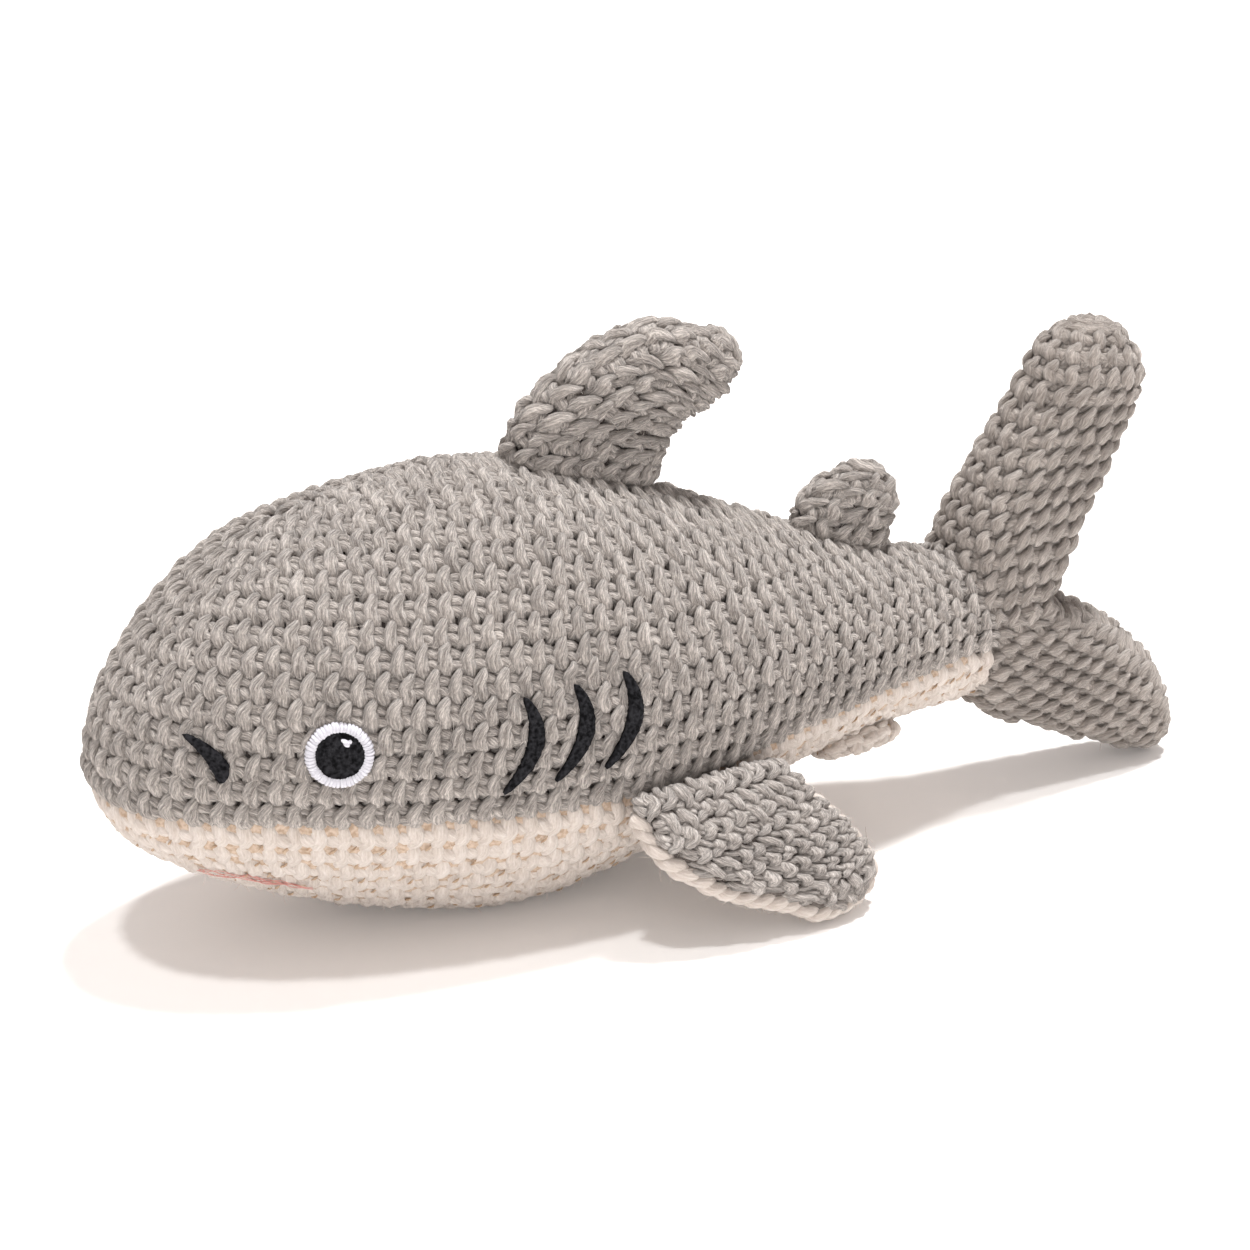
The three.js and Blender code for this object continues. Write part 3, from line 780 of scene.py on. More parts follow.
def lay(corners, normals, kinds, stitch=STITCH, row=ROW, lift=0.0, wander=0.2):
    """Sets one version of a stitch on every patch. Returns vertices, yarn places and faces."""
    versions, yarns, faces = kinds
    count = len(corners)
    pick = random.integers(0, len(versions), count)
    local = versions[pick]
    shift = random.normal(0, 1, (count, 1, 3)) * (wander, wander, FLATTER * wander)
    local = local + shift
    s = local[..., 0] / stitch + 0.5
    r = local[..., 1] / row + 0.5
    weights = np.stack([(1 - s) * (1 - r), s * (1 - r), (1 - s) * r, s * r], -1)
    base = np.einsum("nvk,nkc->nvc", weights, corners)
    out = unit(np.einsum("nvk,nkc->nvc", np.clip(weights, -0.6, 1.6), normals))
    vertices = base + out * (local[..., 2:3] + lift)
    yarn = yarns[pick] + random.uniform(0, 40, (count, 1, 1)) * (0, 0, 1)
    shade = np.repeat(random.normal(0, 1, (count, 1)), vertices.shape[1], 1)
    steps = np.arange(count)[:, None, None] * vertices.shape[1]
    all_faces = (faces[None] + steps).reshape(-1, 4)
    return vertices.reshape(-1, 3), yarn.reshape(-1, 3), shade.reshape(-1), all_faces


# ---- Meshes


def mesh_object(name, vertices, faces, material, yarn=None, shade=None):
    """A smooth-shaded mesh from points in millimetres and four-cornered faces."""
    mesh = bpy.data.meshes.new(name)
    mesh.vertices.add(len(vertices))
    mesh.vertices.foreach_set("co", np.ascontiguousarray(vertices * MM, np.float32).ravel())
    mesh.loops.add(faces.size)
    mesh.loops.foreach_set("vertex_index", np.ascontiguousarray(faces, np.int32).ravel())
    mesh.polygons.add(len(faces))
    mesh.polygons.foreach_set("loop_start", np.arange(0, faces.size, faces.shape[1], dtype=np.int32))
    mesh.update(calc_edges=True)
    mesh.validate()
    mesh.shade_smooth()
    if yarn is not None:
        place = mesh.attributes.new("yarn", "FLOAT_VECTOR", "POINT")
        place.data.foreach_set("vector", np.ascontiguousarray(yarn, np.float32).ravel())
    if shade is not None:
        tone = mesh.attributes.new("shade", "FLOAT", "POINT")
        tone.data.foreach_set("value", np.ascontiguousarray(shade, np.float32))
    mesh.materials.append(material)
    piece = bpy.data.objects.new(name, mesh)
    bpy.context.scene.collection.objects.link(piece)
    return piece


def cord_round(name, path, side_hint, material):
    """Two strands twisted round a path, as the edge of a fin is bound."""
    lengths = lengths_along(path)
    count = int(lengths[-1])
    line = read_line(path, lengths, np.linspace(0, lengths[-1], count + 1))
    along = unit(np.gradient(line, axis=0))
    side = unit(np.cross(along, side_hint))
    out = np.cross(side, along)
    parts = []
    for start in (0.0, math.pi):
        angle = (start + np.linspace(0, CORD_TURNS * 2 * math.pi, count + 1))[:, None]
        centre = line + CORD_OFFSET * (np.cos(angle) * side + np.sin(angle) * out)
        lumps = random.normal(1, CORD_UNEVEN, CORD_LUMPS)
        places = np.linspace(0, CORD_LUMPS - 1, count + 1)
        lumps = smooth_value(lumps, places, np.arange(CORD_LUMPS))
        parts.append(strand_tube(centre, CORD_RADIUS * lumps, 10))
    return joined(name, parts, material)


def strand_tube(line, radii, sides):
    """A strand of yarn round a line of points: vertices, yarn places and faces."""
    along = unit(np.gradient(line, axis=0))
    side = np.zeros_like(line)
    guess = np.cross(along[0], (0.3, 0.2, 0.9))
    for i, direction in enumerate(along):
        guess = unit(guess - direction * (guess @ direction))
        side[i] = guess
    out = np.cross(side, along)
    vertices, yarn = rings_round(line, side, out, radii, sides, random.uniform(0, YARN_RUN))
    return vertices, yarn, tube_faces(sides, len(line) - 1)


def joined(name, parts, material):
    """One mesh from several strands."""
    starts = np.cumsum([0] + [len(vertices) for vertices, _, _ in parts[:-1]])
    vertices = np.concatenate([part[0] for part in parts])
    yarn = np.concatenate([part[1] for part in parts])
    faces = np.concatenate([part[2] + start for part, start in zip(parts, starts)])
    shade = np.concatenate([np.full(len(part[0]), random.normal()) for part in parts])
    return mesh_object(name, vertices, faces, material, yarn, shade)


def box_of(name):
    low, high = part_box(name)
    return np.array(low) / MM, np.array(high) / MM


def side_point(x, z, side):
    """The body's surface seen from one side at some places: the points and outward directions."""
    points = np.stack([x, np.full_like(x, side * 45.0), z], -1).reshape(-1, 3)
    step = np.array([0, 0.02, 0])
    for _ in range(8):
        level = body_level(points)
        slope = (body_level(points + step) - body_level(points - step)) / 0.04
        points[:, 1] -= np.clip(level / slope, -8, 8)
    shape = (*np.shape(x), 3)
    return points.reshape(shape), unit(body_slope(points)).reshape(shape)


def satin_ring(name, x, z, side, inner, outer, threads, material):
    """A ring of radial satin stitches over the body's surface."""
    angle = 2 * math.pi * (np.arange(threads) + random.normal(0, 0.06, threads)) / threads
    bow = np.linspace(-math.pi / 2, math.pi / 2, 9)
    reach = (outer - inner) / 2 * random.normal(1, 0.05, threads)
    radius = (inner + outer) / 2 + reach[:, None] * np.sin(bow)
    height = RING_FOOT + RING_RISE * np.cos(bow)
    points, out = side_point(
        x + radius * np.cos(angle)[:, None], z + radius * np.sin(angle)[:, None], side
    )
    lines = points + out * height[:, None]
    thickness = THREAD_RADIUS * random.normal(1, 0.08, threads)
    parts = [strand_tube(line, np.full(9, r), 6) for line, r in zip(lines, thickness)]
    return joined(name, parts, material)


def domed_disc(name, x, z, side, radius, low, high, material):
    """A disc of felt that follows the body's surface, a little domed."""
    count = 48
    heights = low + (high - low) * DISC_HEIGHTS
    angle = np.arange(count) * 2 * math.pi / count
    uneven = 1 + 0.012 * random.normal(0, 1, (len(DISC_SHARES), count))
    reach = radius * DISC_SHARES[:, None] * uneven
    points, out = side_point(x + reach * np.cos(angle), z + reach * np.sin(angle), side)
    return closed_skin(name, points + out * heights[:, None, None], material)


def crescent_line(top, low, bow):
    """A line from top to low, seen from the side, that bows towards the tail."""
    t = np.linspace(0, 1, 40)
    return np.stack([
        top[0] + (low[0] - top[0]) * t + bow * 4 * t * (1 - t),
        top[1] + (low[1] - top[1]) * t,
    ], 1)


def crescent(name, line, width, thickest, side, material):
    """A crescent of felt along a line on the body, pointed at both ends."""
    t = np.linspace(0, 1, len(line))
    swell = np.where(t < thickest, t / thickest, (1 - t) / (1 - thickest))
    half = CRESCENT_POINT + width / 2 * np.sqrt(swell)
    along = unit(np.gradient(line, axis=0))
    angle = np.arange(CRESCENT_SIDES) * 2 * math.pi / CRESCENT_SIDES
    size = (len(line), CRESCENT_SIDES)
    across = np.cos(angle) * half[:, None] * (1 + 0.04 * random.normal(0, 1, size))
    dome = np.where(np.sin(angle) > 0, FELT_RISE * np.sin(angle), -FELT_SUNK)
    height = FELT_HEIGHT - FELT_RISE + dome + 0.05 * random.normal(0, 1, size)
    points, out = side_point(
        line[:, :1] + along[:, 1:] * across, line[:, 1:] - along[:, :1] * across, side
    )
    return closed_skin(name, points + out * height[..., None], material)


def pressed(vertices, marks):
    """Vertices pressed down towards the body round marks, each a place and a reach."""
    marks = np.array(marks)
    middles = marks[:, :3]
    nearest = np.full(len(vertices), np.inf)
    for x, y, z in middles[::4]:
        nearest = np.minimum(nearest, ((vertices - (x, y, z)) ** 2).sum(1))
    near = np.flatnonzero(nearest < PRESSED_REACH**2)
    slope = body_slope(vertices[near])
    steepness = np.linalg.norm(slope, axis=1)
    height = body_level(vertices[near]) / steepness
    inward = slope / steepness[:, None]
    feet = vertices[near] - inward * height[:, None]
    limit = np.full(len(near), np.inf)
    for x, y, z, reach in marks:
        beyond = np.maximum(np.linalg.norm(feet - (x, y, z), axis=1) - reach, 0)
        limit = np.minimum(limit, PRESSED_HEIGHT + PRESSED_SLOPE * beyond)
    moved = vertices.copy()
    moved[near] -= inward * np.maximum(height - limit, 0)[:, None]
    return moved


def hairs(name, roots, outward, length, material, sides=3, segments=3):
    """Loose fibres: thin curved strands that stand off the yarn, clear of the ground."""
    clear = roots[:, 2] > HAIR_CLEARANCE * length
    roots = roots[clear]
    outward = outward[clear]
    count = len(roots)
    drift = random.normal(0, 1, (count, 3))
    curl = random.normal(0, 1, (count, 3))
    start = unit(outward * HAIR_STAND + drift * HAIR_DRIFT)
    long = length * random.uniform(*HAIR_SHARES, count)[:, None]
    t = np.linspace(0, 1, segments + 1)[:, None, None]
    lines = roots + start * long * t + (curl - outward) * HAIR_CURL * long * t**2
    side = unit(np.cross(start, curl))
    up = np.cross(side, start)
    angle = (np.arange(sides) * 2 * math.pi / sides)[:, None, None]
    ring = (np.cos(angle) * side + np.sin(angle) * up) * HAIR_RADIUS
    points = lines[:, None] + ring[None] * (1 - 0.5 * t[:, None])
    vertices = points.transpose(2, 0, 1, 3).reshape(-1, 3)
    places = np.arange(count)[:, None, None] * (segments + 1) * sides
    faces = (tube_walls(sides, segments)[None] + places).reshape(-1, 4)
    yarn = np.repeat(random.uniform(0, 60, (count, 3)), (segments + 1) * sides, 0)
    shade = np.repeat(random.normal(2, 2, count), (segments + 1) * sides)
    return mesh_object(name, vertices, faces, material, yarn, shade)


# ---- Materials


def node(tree, kind, links=(), **values):
    """Adds a node. Values name its properties or inputs, and links give sockets to its inputs."""
    made = tree.nodes.new(kind)
    for key, value in values.items():
        if hasattr(made, key):
            setattr(made, key, value)
        else:
            made.inputs[key.replace("_", " ")].default_value = value
    for key, socket in dict(links).items():
        tree.links.new(socket, made.inputs[key])
    return made


def shader_colour(values):
    """A colour given as 0 to 255, in the linear values that a shader takes, and opaque."""
    shares = [v / 255 for v in values]
    return (*(v / 12.92 if v < 0.0404 else ((v + 0.055) / 1.055) ** 2.4 for v in shares), 1)


def ramp(tree, factor, stops):
    """Colours at places along a ramp, which has two places until more are made."""
    made = node(tree, "ShaderNodeValToRGB", {"Fac": factor})
    elements = made.color_ramp.elements
    for i, (place, colour) in enumerate(stops):
        element = elements[i] if i < 2 else elements.new(place)
        element.position = place
        element.color = shader_colour(colour)
    return made.outputs["Color"]


def rough_material(name, roughness, specular):
    """A new material with its tree and its shader, whose other values stay as they come."""
    material = bpy.data.materials.new(name)
    material.use_nodes = True
    shader = material.node_tree.nodes["Principled BSDF"]
    shader.inputs["Roughness"].default_value = roughness
    shader.inputs["Specular IOR Level"].default_value = specular
    return material, material.node_tree, shader


def surface(tree, shader, colour, height, strength, distance):
    """Links a colour and a bump height to the shader."""
    tree.links.new(colour, shader.inputs["Base Color"])
    bump = node(tree, "ShaderNodeBump", {"Height": height}, Strength=strength, Distance=distance)
    tree.links.new(bump.outputs["Normal"], shader.inputs["Normal"])


def stretched_noise(tree, place, scale, **values):
    """Noise at places that are scaled first, so that it can be drawn out along the yarn."""
    mapped = node(tree, "ShaderNodeMapping", {"Vector": place}, Scale=scale).outputs["Vector"]
    noise = node(tree, "ShaderNodeTexNoise", {"Vector": mapped}, **values)
    return noise.outputs["Fac"]


def multiply_add(tree, value, factor, added):
    made = node(tree, "ShaderNodeMath", {0: value, 2: added}, operation="MULTIPLY_ADD")
    made.inputs[1].default_value = factor
    return made.outputs[0]


def yarn_material(name, contrast, depth):
    """Spun yarn: fine fibres along each strand, plies that twist, and heathered colour, darkest in
    the hollows as painted shade.
    """
    material, tree, shader = rough_material(name, 0.95, 0.15)
    place = node(tree, "ShaderNodeAttribute", attribute_name="yarn").outputs["Vector"]
    shade = node(tree, "ShaderNodeAttribute", attribute_name="shade").outputs["Fac"]
    fine = stretched_noise(tree, place, FIBRE_SCALE, Scale=1.0, Detail=4.0, Roughness=0.7)
    ply = stretched_noise(tree, place, PLY_SCALE, Scale=1.0, Detail=1.0)
    mixed = multiply_add(tree, ply, PLY_WEIGHT, fine)
    middle = 0.5 * (1 + PLY_WEIGHT)
    reach = TONE_SPREAD / contrast
    spread = node(
        tree, "ShaderNodeMapRange", {"Value": mixed}, From_Min=middle - reach, From_Max=middle + reach
    )
    tone = multiply_add(tree, shade, SHADE_WEIGHT, spread.outputs["Result"])
    # The ramp follows the bump's height, so the hollows between fibres and plies take the darkest
    # colour: painted shade over fibre tone that varies at random.
    colour = ramp(tree, tone, zip((0.0, 0.5, 1.0), YARN_COLOURS[name]))
    surface(tree, shader, colour, mixed, depth, YARN_BUMP)
    shader.inputs["Sheen Weight"].default_value = 0.35
    shader.inputs["Sheen Roughness"].default_value = 0.5
    return material


def shade_and_felt_material(name):
    """The yarn deep between the stitches, coloured darker as painted shade; also felt."""
    material, tree, shader = rough_material(name, 1.0, 0.1)
    place = node(tree, "ShaderNodeTexCoord").outputs["Object"]
    fuzz = node(tree, "ShaderNodeTexNoise", {"Vector": place}, Scale=900.0, Detail=3.0)
    colour = ramp(tree, fuzz.outputs["Fac"], zip((0.35, 0.65), SHADE_AND_FELT_COLOURS[name]))
    surface(tree, shader, colour, fuzz.outputs["Fac"], 0.6, GROUND_BUMP)
    return material


GREY = yarn_material("grey_yarn", contrast=1.7, depth=1.0)
# A lighter copy of the grey yarn for the pectoral fins' tops: painted light where they face up.
PAINTED_LIT_GREY = yarn_material("grey_yarn_painted_lit", contrast=1.7, depth=1.0)
# A darker copy of the grey yarn with softer contrast for the tail: painted shade.
SHADED_SOFT_GREY = yarn_material("grey_yarn_shaded_soft", contrast=1.2, depth=0.9)
CREAM = yarn_material("cream_yarn", contrast=1.0, depth=0.6)
WHITE = yarn_material("white_thread", contrast=1.0, depth=0.4)
RED = yarn_material("red_thread", contrast=1.0, depth=0.5)
# Grounds under the stitches, dark grey and tan, darker than the yarns as painted shade in the gaps.
# The brown gap marks are painted shade too; the felt is truly black.
GREY_SHADE_GROUND = shade_and_felt_material("grey_shade_ground")
CREAM_SHADE_GROUND = shade_and_felt_material("cream_shade_ground")
GAP_SHADE_BROWN = shade_and_felt_material("cream_gap_shade")
FELT = shade_and_felt_material("black_felt")


# ---- Body


def body_shell(name, material, sections=90, points=72):
    """The stuffed form of the body under its stitches, as one closed skin."""
    share = np.concatenate([
        NOSE_SHARE * (1 - np.cos(np.linspace(0.02, 1, 30) * math.pi / 2)),
        np.linspace(NOSE_SHARE, 0.99, sections - 29)[1:],
    ])
    back, belly, width, middle = body_profile(share)
    cap = nose_cap(share)
    angle = np.linspace(0.0, 2 * math.pi, points + 1)[None, :-1]
    rise = np.sin(angle)
    half = np.where(rise > 0, (back - middle)[:, None], (middle - belly)[:, None])
    up = half * rise * cap[:, None]
    lean = TAIL_LEAN * up * share[:, None] ** 4
    x = NOSE_X + share[:, None] * BODY_LENGTH - lean
    y = width[:, None] * np.cos(angle) * cap[:, None]
    rings = np.stack([x, y, middle[:, None] + up], -1)
    flat = rings.reshape(-1, 3)
    below = smooth_value(SEAM_HEIGHT, body_station(flat)) - flat[:, 2]
    depth = GROUND_DEPTH + (BELLY_DEPTH - GROUND_DEPTH) * np.clip(below / 2, 0, 1)
    rings = rings - (unit(body_slope(flat)) * depth[:, None]).reshape(rings.shape)
    rings[..., 2] = np.maximum(rings[..., 2], 0.4)
    return closed_skin(name, rings, material)


def closed_skin(name, rings, material):
    """A closed skin over rings of points, with each end drawn together to its middle."""
    count = rings.shape[1]
    ends = [rings[:1] * 0 + rings[0].mean(0), rings[:1] * 0 + rings[-1].mean(0)]
    near = rings[:1] * 0.3 + ends[0] * 0.7
    far = rings[-1:] * 0.3 + ends[1] * 0.7
    rings = np.concatenate([near, rings, far])
    faces = []
    for i in range(len(rings) - 1):
        a = i * count + np.arange(count)
        b = i * count + np.roll(np.arange(count), -1)
        faces.append(np.stack([a, b, b + count, a + count], 1))
    half = count // 2
    last = (len(rings) - 1) * count
    cap = np.array([(j, j + 1, count - j - 2, count - j - 1) for j in range(half - 1)])
    faces.append(cap[:, ::-1])
    faces.append(cap + last)
    return mesh_object(name, rings.reshape(-1, 3), np.concatenate(faces), material)


seam = seam_line()
back_rows = body_rows(seam, BODY_END, RIDGE)
belly_rows = body_rows(seam[::-1] - (0, 0, BELLY_DROP), BODY_END, BELLY_RIDGE)


def cut_rows(rows, width):
    return [
        stitched(line, above, width, 0.5 * (k % 2) - 0.25) for k, (line, above) in enumerate(rows)
    ]


def ridge_row(start_x, end_x, height):
    """One row laid along the middle of the back, over the ends of the others."""
    x = np.arange(start_x, end_x, 1.5)
    guess = np.full_like(x, height)
    foot = onto_body(np.stack([x, np.full_like(x, -ROW / 2), guess], 1))
    top = onto_body(np.stack([x, np.full_like(x, ROW / 2), guess], 1))
    return stitched(foot, top, STITCH, 0.0)


grey_kinds = stitch_kinds(CROCHET, 0.2, thick=1.03)
cream_kinds = stitch_kinds(SOFT_CROCHET, 0.12)
banded_kinds = stitch_kinds(BANDED_CROCHET, 0.25)
loose_kinds = stitch_kinds(CROCHET, 0.4, thick=1.04, turn=0.5)
gap_shade_kinds = stitch_kinds([GAP_SHADE_MARK], 0.15)

# The places of the eyes, gills and nostrils, as lines seen from the side.
eye_lines = {}
felt_lines = {}
marks = []
for side, side_name in ((-1, "left"), (1, "right")):
    low, high = box_of(f"{side_name}_eye_patch")
    x, _, z = (low + high) / 2
    radius = (high[2] - low[2]) / 2
    eye_lines[side_name] = (x, z, radius)
    ways = np.linspace(0, 2 * math.pi, 25)[:, None]
    places = (x, z) + radius * EYE_MARK_RING * np.concatenate([np.cos(ways), np.sin(ways)], 1)
    middle, _ = side_point(places[:, 0], places[:, 1], side)
    marks.extend((*point, radius * EYE_MARK) for point in middle)
    for i in (1, 2, 3):
        low, high = box_of(f"{side_name}_gill_slit_{i}")
        middle_x = high[0] - GILL_WIDTH / 2
        felt_lines[f"{side_name}_gill_slit_{i}"] = crescent_line(
            (middle_x - GILL_BOW + GILL_LEAN, high[2]), (middle_x - GILL_BOW - GILL_LEAN, low[2]),
            GILL_BOW,
        )
    low, high = box_of(f"{side_name}_nostril")
    felt_lines[f"{side_name}_nostril"] = crescent_line(
        (low[0] + NOSTRIL_TOP, high[2]), (high[0] - NOSTRIL_LOW, low[2]), NOSTRIL_BOW
    )
for name, line in felt_lines.items():
    points, _ = side_point(line[1:-1:3, 0], line[1:-1:3, 1], -1 if name.startswith("left") else 1)
    marks.extend((*point, FELT_MARK) for point in points)

back = cut_rows(back_rows, STITCH)
pole = back_rows[-1][0][:, 0].min()
back.append(ridge_row(pole, RIDGE_END, RIDGE_GUESS))
corners, normals = patches(back)
middles = corners.mean(1)
on_left = middles[:, 1] < TINY
in_front = middles[:, 0] < FRONT_END
quarters = {
    "left_front": on_left & in_front,
    "left_rear": on_left & ~in_front,
    "right_front": ~on_left & in_front,
    "right_rear": ~on_left & ~in_front,
}
for quarter, chosen in quarters.items():
    vertices, yarn, shade, faces = lay(corners[chosen], normals[chosen], grey_kinds, lift=BACK_LIFT)
    vertices = pressed(vertices, marks)
    piece = mesh_object(f"back_stitches_{quarter}", vertices, faces, GREY, yarn, shade)
    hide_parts("back_panel")
    roots = vertices[random.choice(len(vertices), BACK_HAIRS // 4)]
    for x, y, z, reach in marks:
        roots = roots[np.linalg.norm(roots - (x, y, z), axis=1) > reach + CLEAR_OF_MARKS]
    fuzz = hairs(f"back_fuzz_{quarter}", roots, unit(body_slope(roots)), HAIR_LENGTH, GREY)
    for part in (piece, fuzz):
        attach(part, BODY)

belly = cut_rows(belly_rows, STITCH)
corners, normals = patches(belly)
vertices, yarn, shade, faces = lay(corners, normals, cream_kinds, lift=BELLY_LIFT)
vertices[:, 2] = np.maximum(vertices[:, 2], 0.0)
belly_piece = mesh_object("belly_stitches", vertices, faces, CREAM, yarn, shade)
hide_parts("belly_panel")
roots = vertices[random.choice(len(vertices), BELLY_HAIRS)]
fuzz = hairs("belly_fuzz", roots, unit(body_slope(roots)), BELLY_HAIR_LENGTH, CREAM)
# Brown marks beside some cream stitches, except where the belly faces down: painted shade in the
# gaps.
chosen = (random.random(len(corners)) < GAP_SHADE_SHARE) & (normals[..., 2].mean(1) > GAP_SHADE_LOWEST)
vertices, yarn, shade, faces = lay(
    corners[chosen], normals[chosen], gap_shade_kinds, lift=GAP_SHADE_LIFT, wander=0.45
)
gaps = mesh_object("belly_gap_shade", vertices, faces, GAP_SHADE_BROWN)
for part in (belly_piece, fuzz, gaps):
    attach(part, BODY)

# The form is dark grey above the seam and tan below it: painted shade showing between the stitches.
body_form = body_shell("stuffed_body_shade_ground", GREY_SHADE_GROUND)
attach(body_form, BODY)
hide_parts("body_filling")
body_form.data.materials.append(CREAM_SHADE_GROUND)
for polygon in body_form.data.polygons:
    centre = np.array(polygon.center)[None] / MM
    seam_here = smooth_value(SEAM_HEIGHT, body_station(centre))[0]
    polygon.material_index = int(centre[0, 2] < seam_here + SEAM_OVERLAP)

# ---- Fins


def fin_piece(name, rows, material, kinds, **laying):
    corners, normals = patches(rows)
    rise = np.linalg.norm(corners[:, 2:].mean(1) - corners[:, :2].mean(1), axis=1)
    tall = (rise > SMALLEST_STITCH) & np.isfinite(normals).all((1, 2))
    vertices, yarn, shade, faces = lay(corners[tall], normals[tall], kinds, **laying)
    vertices[:, 2] = np.maximum(vertices[:, 2], 0.0)
    return mesh_object(name, vertices, faces, material, yarn, shade)


def core_rings(fin, share):
    """Rings of a fin's stuffed core, under its stitches."""
    places = along_fin(fin, fin["rows"][2], 0.96, 2, 40)
    grid = fin_grid(fin, places, count=32)[:, :-1]
    middle = grid.mean(1, keepdims=True)
    return middle + (grid - middle) * share


def tip_coil(name, fin, material, side=None):
    """The last yarn of a fin, wound in to the middle of its tip and drawn tight."""
    last = float(len(fin["ribs"]) - 1)
    ends = fin_points(fin, np.array([last, last, last + 1]), np.array([0, math.pi, 0]))
    half = np.linalg.norm(ends[0] - ends[1]) / 2
    outward = unit(ends[2] - (ends[0] + ends[1]) / 2)
    t = np.linspace(0, 1, 90)
    reach = max(COIL_REACH, COIL_SHARE * half)
    grow = min(reach / half, COIL_WIDEST) * (1 - COIL_CLOSING * t)
    places = last + 1 - np.arcsin(grow) * 2 / math.pi
    line = fin_points(fin, places, 2 * math.pi * reach / COIL_PITCH * t + 0.7)
    line = line + outward * np.interp(t, COIL_PLACES, COIL_HEIGHTS)[:, None]
    if side:
        line = side_fin_place(line, fin, side)
    line = np.maximum(line, (-np.inf, -np.inf, 1.2 * COIL_RADIUS))
    loops = np.sin(2 * math.pi * lengths_along(line) / COIL_LOOP)
    radii = COIL_RADIUS * (1 + 0.2 * loops) * np.interp(t, [0, 0.1, 1], [0.5, 1, 0.8])
    return joined(name, [strand_tube(line, radii, 10)], material)


def side_fin_core(name, fin, side, material, share):
    rings = side_fin_place(core_rings(fin, share), fin, side)
    return closed_skin(name, rings[:, ::side], material)


def side_fin_fuzz(name, piece, material):
    points = piece_points(piece)
    roots = points[random.choice(len(points), SIDE_FIN_HAIRS)]
    outward = unit((roots - points.mean(0)) * (0.2, 0.2, 1))
    return hairs(name, roots, outward, HAIR_LENGTH, material)


def piece_points(piece):
    """The places of a piece's vertices, in millimetres."""
    flat = np.empty(len(piece.data.vertices) * 3, np.float32)
    piece.data.vertices.foreach_get("co", flat)
    return flat.reshape(-1, 3) / MM


def dress_fin(name, fin, rows, kinds, material):
    """The stitches, fuzz, stuffed core and tip coil of an upright fin."""
    piece = fin_piece(f"{name}_stitches", rows, material, kinds, lift=FIN_LIFT)
    roots = piece_points(piece)
    roots = roots[random.choice(len(roots), FIN_HAIRS)]
    outward = unit((roots - roots.mean(0)) * (0.2, 1, 0.2))
    fuzz = hairs(f"{name}_fuzz", roots, outward, HAIR_LENGTH, material)
    # The core's dark grey is painted shade between the fin's stitches.
    core = closed_skin(f"{name}_core", core_rings(fin, CORE_SHARE), GREY_SHADE_GROUND)
    coil = tip_coil(f"{name}_tip", fin, material)
    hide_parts(f"{name}_cover")
    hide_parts(f"{name}_filling")
    for part in (piece, fuzz, core, coil):
        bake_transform(part)


for name, fin in (("dorsal_fin", DORSAL_FIN), ("rear_dorsal_fin", REAR_DORSAL_FIN)):
    dress_fin(name, fin, fin_rows(fin, *fin["rows"]), loose_kinds, GREY)
upper_rows = fin_rows(TAIL_UPPER_LOBE, *TAIL_UPPER_LOBE["rows"])
lower_rows = level_rows(TAIL_LOWER_LOBE, *TAIL_LOWER_LOBE["rows"])
lower_rows.append(edge_row(TAIL_LOWER_LOBE, *TAIL_LOWER_LOBE["rows"]))
for name, fin, rows in (
    ("tail_upper_lobe", TAIL_UPPER_LOBE, upper_rows),
    ("tail_lower_lobe", TAIL_LOWER_LOBE, lower_rows),
):
    # The tail takes the darker copy of the grey yarn: painted shade.
    dress_fin(name, fin, rows, banded_kinds, SHADED_SOFT_GREY)


def pectoral_rim(fin, side):
    """The line round a pectoral fin's edge, from its front root over the tip to its rear root."""
    places = np.linspace(0, len(fin["ribs"]), 60)
    front = fin_points(fin, places, np.full(60, math.pi - RIM_TURN))
    rear = fin_points(fin, places[::-1], np.full(60, RIM_TURN))
    return side_fin_place(np.concatenate([front, rear[1:]]), fin, side)


